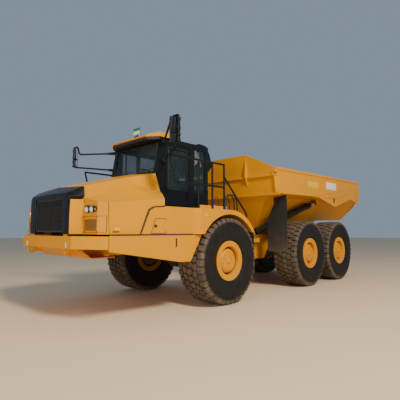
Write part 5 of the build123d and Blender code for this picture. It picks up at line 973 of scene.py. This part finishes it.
# Steps: black enamelled steel on the left side, with nine raised steel bars across each
# tread against slipping.
STEP_HEIGHTS, BARS, BAR_SPACING = (0.5825, 0.8825, 1.1825, 1.4875), 9, 0.0375
FIRST_BAR_Y, TREAD_REACH = -1.40, 0.193
black_enamel = Finish("black_enamel")
black_colour, black_dust = black_enamel.dusted((0.006, 0.007, 0.009), (0.16, 0.13, 0.10), 0.4, 2.2, 0.3)
black_enamel.set(
    Base_Color=black_colour,
    Roughness=0.34 + 0.4 * black_dust,
    Specular_IOR_Level=0.3,
    Coat_Weight=0.08,
    Coat_Roughness=0.12,
    Normal=black_enamel.bump(black_enamel.noise(2.6, 2.0), 0.12, 0.01),
)
dress(black_enamel, "steps")
tread_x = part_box("steps")[0].x + TREAD_REACH
treads = Shape()
for z in STEP_HEIGHTS:
    for n in range(BARS):
        treads.box((tread_x, FIRST_BAR_Y + BAR_SPACING * n, z + 0.003), (0.084, 0.010, 0.008), 0.002, 1)
treads.piece("step_treads", bolt_steel, "tractor")

# Cab: black steel cell with tinted glass in rubber seals, parked wipers, posts between the
# right windows, a visor with gutters under the roof, and pale stripes on a rear quarter pane.
SCREEN_FRONT, SCREEN_FOOT, SCREEN_SLOPE = -3.510, 2.78, 0.130 / 0.740
SCREEN_CORNERS = ((-0.74, 2.785), (0.74, 2.785), (0.74, 3.405), (-0.74, 3.405), (-0.74, 2.79))
WIPER_PIVOT = [(0, 0.016), (0.016, 0.014), (0.02, 0.0), (0, 0.0)]
VISOR = ((-3.622, -0.63), (-3.622, 0.63), (-3.46, 0.845), (-3.36, 0.845), (-3.36, -0.845), (-3.46, -0.845))
STRIPE_Y, STRIPE_RADIUS = -0.8335, 0.0026


def screen_point(y, z, lift):
    """A point on the windscreen's outer face, lifted off it."""
    return Vector((SCREEN_FRONT + SCREEN_SLOPE * (z - SCREEN_FOOT) - lift, y, z + lift * SCREEN_SLOPE))


tinted = Finish("tinted_glass")
film = tinted.noise(5.0, 5.0, 0.6).step(0.45, 0.8)
tinted.set(
    Base_Color=tinted.blend(film * 0.25, (0.03, 0.055, 0.065), (0.14, 0.17, 0.17)),
    Roughness=0.05 + 0.1 * film,
    Alpha=0.33 + 0.10 * film,
    Specular_IOR_Level=0.3,
)
rubber_seal = mottled(
    "rubber_seal", (20.0, 3.0), (0.012, 0.012, 0.012), (0.032, 0.030, 0.028), (0.6, 0.15, 40.0, 2.0)
)
dress(black_enamel, "cab_shell", "cab_door")
dress(enamel, "cab_roof")
dress(tinted, "cab_glass", "door_glass")
seals, door_seals, wipers, window_posts, visor, stripes = (Shape() for _ in range(6))
seals.tube([screen_point(y, z, 0.002) for y, z in SCREEN_CORNERS], 0.010, 8)
seals.piece("windscreen_seal", rubber_seal, "tractor")
low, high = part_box("door_glass")
corners = ((low.x, low.z), (high.x, low.z), (high.x, high.z), (low.x, high.z), (low.x, low.z + 0.01))
door_seals.tube([(x, -0.852, z) for x, z in corners], 0.009, 8)
door_seals.piece("door_glass_seal", rubber_seal, "door")
for y in (-0.10, 0.68):
    wipers.lathe(WIPER_PIVOT, screen_point(y, 2.765, 0.006), (-1, 0, 0.15), 14)
    wipers.tube([screen_point(y, 2.765, 0.024), screen_point(y - 0.42, 2.835, 0.022)], 0.007, 8)
    wipers.tube([screen_point(y - 0.10, 2.805, 0.014), screen_point(y - 0.66, 2.850, 0.014)], 0.008, 6)
wipers.piece("wipers", black_plastic, "tractor", "black_plastic")
window_posts.box((-2.761, 0.806, 2.91), (0.110, 0.022, 1.02), 0.004)
window_posts.box((-3.122, 0.806, 2.91), (0.030, 0.018, 1.02), 0.003)
window_posts.piece("right_window_posts", rubber_seal, "tractor")
visor.plate([(x, y, 3.519) for x, y in VISOR], (0, 0, -0.062), 0.012, 2)
for side in (-1, 1):
    visor.tube([(x, side * 0.872, z) for x, z in ((-3.44, 3.505), (-2.95, 3.510))], 0.014, 8)
visor.piece("cab_visor", black_plastic, "tractor", "black_plastic")
for n in range(7):
    z, reach = 3.33 - 0.048 * n, 0.060 + 0.012 * n
    long_stripe = ((-2.40, z), (-2.40 + reach, z + reach))
    short_stripe = ((-2.36 + reach, z - 0.02), (-2.335 + 1.2 * reach, z + 0.02))
    for ends in (long_stripe, short_stripe):
        stripes.tube([(x, STRIPE_Y, end_z) for x, end_z in ends], STRIPE_RADIUS, 5)
stripes.piece("quarter_window_stripes", plate_white, "tractor")

# Driver's place: padded seat in grey cloth, moulded dash and a thick-rimmed steering wheel.
# Pads and controls together stand in for the plain CAD form.
# columns: distance from the dash's middle, height above the cab's floor
DASH = (
    (-0.105, 0.005), (-0.105, 0.52), (-0.07, 0.585), (0.0, 0.590), (0.075, 0.52), (0.103, 0.40),
    (0.06, 0.005),
)
WHEEL_BOSS = [(0.0, 0.012), (0.050, 0.010), (0.062, -0.004), (0.050, -0.020), (0.0, -0.024)]
PAD_CHANNELS, CHANNEL_WIDTH = (-0.42, 0.42), 0.05
DASH_REACH, COLUMN_REACH, COLUMN_LOW, COLUMN_HIGH = 0.11, 0.17, 0.50, 0.78


def pad(name, centre, size, crown, tilt):
    """A padded cushion: crowned faces, sides pulled in between the corners, two sewn channels."""
    form = bmesh.new()
    bmesh.ops.create_cube(form, size=2)
    bmesh.ops.subdivide_edges(form, edges=form.edges, cuts=15, use_grid_fill=True)
    for v in form.verts:
        u, w, t = v.co
        round_off = 1 - 0.10 * (abs(u) ** 6 * abs(w) ** 6) - 0.05 * abs(t) ** 4
        pull = 1 - 0.05 * (1 - abs(u) ** 2) * abs(w) ** 8 - 0.05 * (1 - abs(w) ** 2) * abs(u) ** 8
        swell = (1 - u**4) * (1 - w**4)
        channel = sum(math.exp(-(((w - seam) / CHANNEL_WIDTH) ** 2)) for seam in PAD_CHANNELS) * (1 - u**8)
        height = t * (0.80 + 0.20 * swell - crown * channel * (t > 0.5))
        v.co = (u * round_off * pull * size[0] / 2, w * round_off * pull * size[1] / 2, height * size[2] / 2)
    cushion = Shape()
    cushion.add(form, Matrix.Translation(centre) @ Euler((0, tilt, 0)).to_matrix().to_4x4())
    cushion.piece(name, seat_cloth, "tractor", None, 1.2)


seat_cloth = mottled(
    "seat_cloth", (5.0, 3.0), (0.055, 0.055, 0.060), (0.090, 0.086, 0.082), (0.85, 0.1, 420.0, 1.0),
    (420.0, 1.0, 0.5, 0.002),
)
place_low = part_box("driver_place")[0]
floor_z, dash_x = place_low.z, place_low.x + DASH_REACH
pad("seat_cushion", (-2.61, 0, floor_z + 0.36), (0.51, 0.51, 0.13), 0.12, 0.0)
pad("seat_back", (-2.352, 0, floor_z + 0.70), (0.63, 0.49, 0.118), 0.14, -math.pi / 2)
controls = Shape()
controls.box((-2.61, 0, floor_z + 0.15), (0.30, 0.30, 0.28), 0.02)
controls.box((-2.84, 0, floor_z + 0.011), (0.98, 0.49, 0.018), 0.006)
controls.plate([(dash_x + dx, -0.445, floor_z + dz) for dx, dz in DASH], (0, 0.89, 0), 0.02, 3)
column_foot = Vector((dash_x, 0, floor_z + COLUMN_LOW))
column_top = Vector((dash_x + COLUMN_REACH, 0, floor_z + COLUMN_HIGH))
column_run = (column_top - column_foot).normalized()
wheel_turn = column_run.to_track_quat("Z", "Y").to_matrix()


def on_wheel(radius, turn):
    """A point of the steering wheel."""
    return column_top + wheel_turn @ Vector((radius * math.cos(turn), radius * math.sin(turn), 0.004))


controls.tube([column_foot, column_top], 0.030, 14)
controls.lathe(WHEEL_BOSS, column_top, column_run, 20)
controls.tube([on_wheel(0.212, 2 * math.pi * i / 32) for i in range(33)], 0.013, 10)
for turn in (math.pi / 2, math.pi * 7 / 6, math.pi * 11 / 6):
    controls.tube([column_top, on_wheel(0.205, turn)], 0.010, 8)
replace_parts(controls.piece("driver_controls", black_plastic, "tractor", "black_plastic"), "driver_place")

# Mirrors: black tube arms with ribbed rubber boots near the cab, and two ribbed heads a side
# with silvered glass that faces the driver. The arms stand in for the plain CAD form.
MIRROR_X, HEAD_Y, UPRIGHT_Y = -3.91, 1.835, 1.945
ARM_FOOT_X, ARM_FOOT_Y, ARM_TOP, ARM_LOW = -3.345, 0.87, 3.42, 3.00
# points from the upper foot on the cab round to the lower one
MIRROR_ARM = (
    (ARM_FOOT_X, ARM_FOOT_Y, ARM_TOP), (MIRROR_X, 1.65, ARM_TOP), (MIRROR_X, 1.75, 3.632),
    (MIRROR_X, UPRIGHT_Y, 3.632), (MIRROR_X, UPRIGHT_Y, 3.14), (ARM_FOOT_X, ARM_FOOT_Y, ARM_LOW),
)
# columns: height of a head's middle, its own height
MIRROR_HEADS = ((3.465, 0.300), (3.215, 0.180))
ARM_CLAMP = [(0.0, 0.022), (0.030, 0.022), (0.030, -0.022), (0.0, -0.022)]
BOOT_RIBS, BOOT_PITCH, BOOT_START = 6, 0.030, 0.05
mirror_glass = mottled(
    "mirror_glass", (8.0, 3.0), (0.72, 0.74, 0.76), (0.60, 0.61, 0.62), (0.05, 0.08, 10.0, 3.0), Metallic=1.0
)


def bent(path, reach):
    """A path of straight runs whose corners are eased over a reach."""
    path = [Vector(p) for p in path]
    eased = [path[0]]
    for before, corner, after in zip(path, path[1:], path[2:]):
        start = corner + (before - corner).normalized() * reach
        end = corner + (after - corner).normalized() * reach
        for i in range(6):
            t = i / 5
            eased.append(start * (1 - t) ** 2 + corner * 2 * t * (1 - t) + end * t**2)
    return [*eased, path[-1]]


boot_profile = [(0.021, 0.0)]
for n in range(BOOT_RIBS):
    rib, foot = 0.040 - 0.002 * n, BOOT_PITCH * n
    boot_profile += [(rib, foot + 0.012), (rib, foot + 0.026), (0.030, foot + 0.032)]
boot_profile += [(0.021, 0.20), boot_profile[0]]
heads, glasses, boots, arms = (Shape() for _ in range(4))
for side in (-1, 1):
    arm = [Vector((x, side * y, z)) for x, y, z in MIRROR_ARM]
    arms.tube(bent(arm, 0.065), 0.020, 12)
    for z in (ARM_TOP, ARM_LOW):
        arms.box((ARM_FOOT_X, side * 0.872, z), (0.09, 0.040, 0.070), 0.008)
        arms.box((ARM_FOOT_X, side * 0.858, z), (0.12, 0.014, 0.110), 0.004)
    yaw = (0, 0, -side * math.pi / 4)
    turned = Euler(yaw).to_matrix()
    for z, height in MIRROR_HEADS:
        centre = Vector((MIRROR_X, side * HEAD_Y, z))
        heads.box(centre, (0.066, 0.196, height), 0.022, 3, yaw)
        glasses.box(centre + turned @ Vector((0.0338, 0, 0)), (0.004, 0.166, height - 0.03), 0.0015, 1, yaw)
        for shift in (-0.060, 0.0, 0.060):
            rib = centre + turned @ Vector((-0.035, shift, 0))
            heads.box(rib, (0.014, 0.022, height * 0.8), 0.005, 2, yaw)
        for dz in (-height * 0.28, height * 0.28):
            arms.lathe(ARM_CLAMP, (MIRROR_X, side * UPRIGHT_Y, z + dz), (0, 0, 1), 14)
            arms.box((MIRROR_X, side * (UPRIGHT_Y - 0.05), z + dz), (0.030, 0.09, 0.030), 0.005)
    for foot, far in ((arm[0], arm[1]), (arm[5], arm[4])):
        run = (far - foot).normalized()
        boots.lathe(boot_profile, foot + run * BOOT_START, run, 16)
heads.piece("mirror_heads", black_enamel, "tractor", "black_plastic")
glasses.piece("mirror_glass", mirror_glass, "tractor")
boots.piece("mirror_arm_boots", flap_rubber, "tractor", "flap_rubber")
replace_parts(arms.piece("mirror_arms", black_enamel, "tractor", "black_paint"), "mirrors")

# Handrails: black tube along both sides of the deck, with a round foot plate and two screws
# below each post.
RAIL_Y, POSTS_X, SCREW_REACH = 1.56, (-3.01, -2.60, -2.22), 0.034
RAIL_FOOT = [(0.0, 0.008), (0.024, 0.008), (0.046, 0.006), (0.048, 0.0), (0.0, 0.0)]
dress(black_enamel, "handrails")
feet, foot_screws = Shape(), []
for side in (-1, 1):
    for x in POSTS_X:
        feet.lathe(RAIL_FOOT, (x, side * RAIL_Y, 2.0005), (0, 0, 1), 20)
        foot_screws += [(x + reach, side * RAIL_Y, 2.008) for reach in (SCREW_REACH, -SCREW_REACH)]
feet.piece("rail_feet", black_enamel, "tractor", "black_paint")
bolt_set("rail_foot_bolts", foot_screws, "up", "tractor", 0.006, 0.005)

# Beacon and mast: a ribbed amber dome on a black foot, which stands in for the plain CAD
# form, and a blank plate in green and white on the mast's plate.
BEACON_FOOT = [(0, 0.0), (0.058, 0.0), (0.060, 0.010), (0.056, 0.042), (0.050, 0.048), (0, 0.048)]
DOME_RIBS, DOME_PITCH = 8, 0.013
SIGN_X, SIGN_WIDTH = -3.4145, 0.232
low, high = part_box("beacon")
beacon_base = ((low.x + high.x) / 2, (low.y + high.y) / 2, low.z)
beacon_foot, dome = Shape(), Shape()
beacon_foot.lathe(BEACON_FOOT, beacon_base, (0, 0, 1), 28)
beacon_foot.piece("beacon_foot", black_plastic, "tractor", "black_plastic")
dome_profile = [(0.0, 0.046), (0.050, 0.046)]
for n in range(DOME_RIBS):
    dome_profile += [(0.0505, 0.050 + DOME_PITCH * n), (0.0480, 0.056 + DOME_PITCH * n)]
dome_profile += [(0.044, 0.158), (0.032, 0.170), (0.016, 0.1765), (0.0, 0.1785)]
dome.lathe(dome_profile, beacon_base, (0, 0, 1), 32)
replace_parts(dome.piece("beacon_dome", amber, "tractor", "amber_plastic", 0.9), "beacon")
dress(black_plastic, "roof_sign")
sign_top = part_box("roof_sign")[1].z
sign_green = mottled(
    "sign_green", (20.0, 3.0), (0.010, 0.26, 0.07), (0.02, 0.20, 0.06), (0.4, 0.1, 30.0, 2.0)
)
for name, finish, z1, z2 in (
    ("sign_upper_band", sign_green, sign_top - 0.062, sign_top - 0.003),
    ("sign_lower_band", plate_white, sign_top - 0.147, sign_top - 0.066),
):
    band = Shape()
    band.box((SIGN_X, 0, (z1 + z2) / 2), (0.003, SIGN_WIDTH, z2 - z1), 0.001, 1)
    band.piece(name, finish, "tractor")

# Hydraulic cylinders: black barrels with a screwed gland, three straps and a feed pipe each,
# and hard chrome rods.
# columns: use, foot, head, barrel length, barrel radius, rod radius
CYLINDERS = (
    ("hoist", (-0.240, 0.860, 1.470), (2.440, 1.330, 2.425), 2.5996, 0.082, 0.050),
    ("steer", (-2.060, 0.820, 1.190), (-0.510, 0.560, 1.190), 1.010, 0.062, 0.034),
)
STRAP_PLACES = (0.28, 0.50, 0.72)
# columns: distance out from the barrel's skin, distance along it
STRAP = ((0.0005, -0.012), (0.007, -0.012), (0.007, 0.012), (0.0005, 0.012))
chrome = mottled(
    "chrome_rod", (9.0, 3.0), (0.62, 0.62, 0.64), (0.50, 0.50, 0.52), (0.12, 0.12, 20.0, 3.0), Metallic=1.0
)
for use, (foot_x, foot_y, foot_z), (head_x, head_y, head_z), length, r, rod in CYLINDERS:
    # columns: radius, distance beyond the barrel's end
    gland_profile = [
        (r + 0.0005, -0.16), (r + 0.012, -0.155), (r + 0.012, -0.03), (r + 0.004, -0.02), (r + 0.004, 0.006),
        (r - 0.010, 0.012), (rod + 0.010, 0.014), (rod + 0.002, 0.018), (rod + 0.0012, -0.02),
        (r + 0.0005, -0.02), (r + 0.0005, -0.16),
    ]
    strap = [(r + out, end) for out, end in STRAP]
    # columns: distance along the barrel, height above its skin
    pipe = (
        (0.16, 0.0), (0.16, 0.024), (0.20, 0.030),
        (length - 0.20, 0.030), (length - 0.15, 0.024), (length - 0.12, 0.008),
    )
    for side_name, side in SIDES:
        barrel = f"{use}_barrel_{side_name}"
        dress(black_enamel, barrel)
        dress(chrome, f"{use}_rod_{side_name}")
        start = Vector((foot_x, side * foot_y, foot_z))
        run = (Vector((head_x, side * head_y, head_z)) - start).normalized()
        over = run.cross(Vector((0, side, 0))).normalized()
        over = over if over.z > 0 else -over
        fittings = Shape()
        fittings.lathe(gland_profile, start + run * length, run, 28)
        fittings.tube([start + run * d + over * (r + lift) for d, lift in pipe], 0.010, 8)
        for share in STRAP_PLACES:
            middle = start + run * length * share
            fittings.lathe([*strap, strap[0]], middle, run, 28)
            fittings.box(middle + over * (r + 0.022), (0.034, 0.034, 0.030), 0.004)
        fittings.piece(f"{use}_fittings_{side_name}", black_enamel, barrel, "black_paint")

# Frames, hitch and walking beams: welded boxes in the same yellow enamel, with a red and an
# amber lamp at each end of the rear bar.
TAIL_LAMP = [(0, 0.012), (0.030, 0.010), (0.042, 0.003), (0.042, -0.002), (0, -0.002)]
RED_Y, AMBER_Y, TAIL_LAMP_Z = 0.73, 0.62, 1.17
dress(enamel, "rear_frame", "front_frame", "walking_beams", "hitch")
tail_red = mottled(
    "tail_lamp_red", (50.0, 2.0), (0.55, 0.012, 0.010), (0.42, 0.010, 0.010), (0.15, 0.1, 70.0, 1.0),
    Coat_Weight=0.8,
)
tail_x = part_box("rear_frame")[1].x + 0.001
lamps_red, lamps_amber = Shape(), Shape()
for side in (-1, 1):
    for lamps, y in ((lamps_red, RED_Y), (lamps_amber, AMBER_Y)):
        lamps.lathe(TAIL_LAMP, (tail_x, side * y, TAIL_LAMP_Z), (1, 0, 0), 24)
lamps_red.piece("tail_lamps", tail_red, "rear")
lamps_amber.piece("rear_turn_lamps", amber, "rear", "amber_plastic")

# Axles, engine and radiator: cast iron and steel, dark and greasy, with road dust that is
# thickest low down.
cast_iron = Finish("cast_iron")
grease, grease_share = cast_iron.dusted((0.035, 0.033, 0.031), (0.20, 0.16, 0.11), 0.5, 1.6)
cast_iron.set(
    Base_Color=grease,
    Metallic=0.4,
    Roughness=0.5 + 0.3 * grease_share,
    Normal=cast_iron.bump(cast_iron.noise(45.0, 4.0), 0.35, 0.003),
)
dress(cast_iron, "front_axle", "bogie_axles", "engine", "radiator")

# Hoses: rubber hydraulic hoses that loop over the fender behind the cab, each between two
# steel fittings on small blocks. The right side mirrors the left.
# points from the front fitting to the rear one on the left
LOOP = (
    (-1.925, -1.290, 2.055), (-1.925, -1.290, 2.150), (-1.915, -1.292, 2.250), (-1.855, -1.298, 2.345),
    (-1.760, -1.305, 2.385), (-1.650, -1.312, 2.355), (-1.580, -1.320, 2.265), (-1.560, -1.322, 2.150),
    (-1.570, -1.322, 2.040), (-1.575, -1.322, 1.925),
)
INNER_LOOP = (
    (-1.865, -1.230, 2.050), (-1.865, -1.230, 2.135), (-1.855, -1.230, 2.225), (-1.800, -1.230, 2.290),
    (-1.730, -1.232, 2.300), (-1.665, -1.234, 2.260), (-1.635, -1.236, 2.175), (-1.635, -1.236, 2.080),
    (-1.640, -1.236, 1.950),
)
ARCH = (
    (-2.170, -1.235, 2.085), (-2.170, -1.235, 2.165), (-2.165, -1.232, 2.250), (-2.125, -1.226, 2.315),
    (-2.065, -1.220, 2.320), (-2.015, -1.214, 2.265), (-1.995, -1.212, 2.180), (-1.990, -1.210, 2.070),
)
# columns: name, diameter, length, points, shift of the points along and across
HOSES = (
    ("hose_loop_outer", 0.034, 0.966, LOOP, 0.0, 0.0),
    ("hose_loop_beside", 0.034, 0.966, LOOP, 0.010, -0.075),
    ("hose_loop_inner", 0.024, 0.710, INNER_LOOP, 0.0, 0.0),
    ("hose_arch", 0.016, 0.561, ARCH, 0.0, 0.0),
)
HOSE_FITTING = [
    (0.0, -0.030), (0.024, -0.030), (0.024, 0.0), (0.021, 0.006), (0.021, 0.050), (0.018, 0.052),
    (0.0, 0.052),
]
BLOCK_SIZE, BLOCK_DROP = 0.070, 0.055
hose_rubber = mottled(
    "hose_rubber", (15.0, 3.0), (0.012, 0.012, 0.013), (0.045, 0.038, 0.030), (0.55, 0.2, 25.0, 2.0)
)
hose_fittings = Shape()
for name, diameter, length, route, along, across in HOSES:
    for side_name, side in SIDES:
        points = [Vector((x + along, -side * (y + across), z)) for x, y, z in route]
        line = bpy.data.curves.new(f"{name}_{side_name}", "CURVE")
        line.dimensions = "3D"
        line.bevel_depth, line.bevel_resolution, line.resolution_u = diameter / 2, 3, 8
        line.use_fill_caps = True
        spline = line.splines.new("NURBS")
        spline.points.add(len(points) - 1)
        for point, place in zip(spline.points, points):
            point.co = (*place, 1)
        spline.order_u = 3
        spline.use_endpoint_u = True
        line.materials.append(hose_rubber.material)
        hose = placed(f"{name}_{side_name}", line)
        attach(hose, "tractor")
        for end, after in ((points[0], points[1]), (points[-1], points[-2])):
            hose_fittings.lathe(HOSE_FITTING, end, after - end, 12)
            block = (end.x, end.y, end.z - BLOCK_DROP)
            hose_fittings.box(block, (BLOCK_SIZE, BLOCK_SIZE, BLOCK_SIZE), 0.006)
hose_fittings.piece("hose_fittings", bolt_steel, "tractor")

# Ground: the pale sand-coloured sheet that the truck stands on in the studio, matt and a
# little uneven in colour.
ground = Finish("pale_floor")
sand = ground.blend(ground.noise(0.4, 4.0), (0.82, 0.61, 0.40), (0.88, 0.67, 0.45))
ground.set(Base_Color=sand, Roughness=0.9)
floor_mesh.materials.append(ground.material)

low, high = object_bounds()
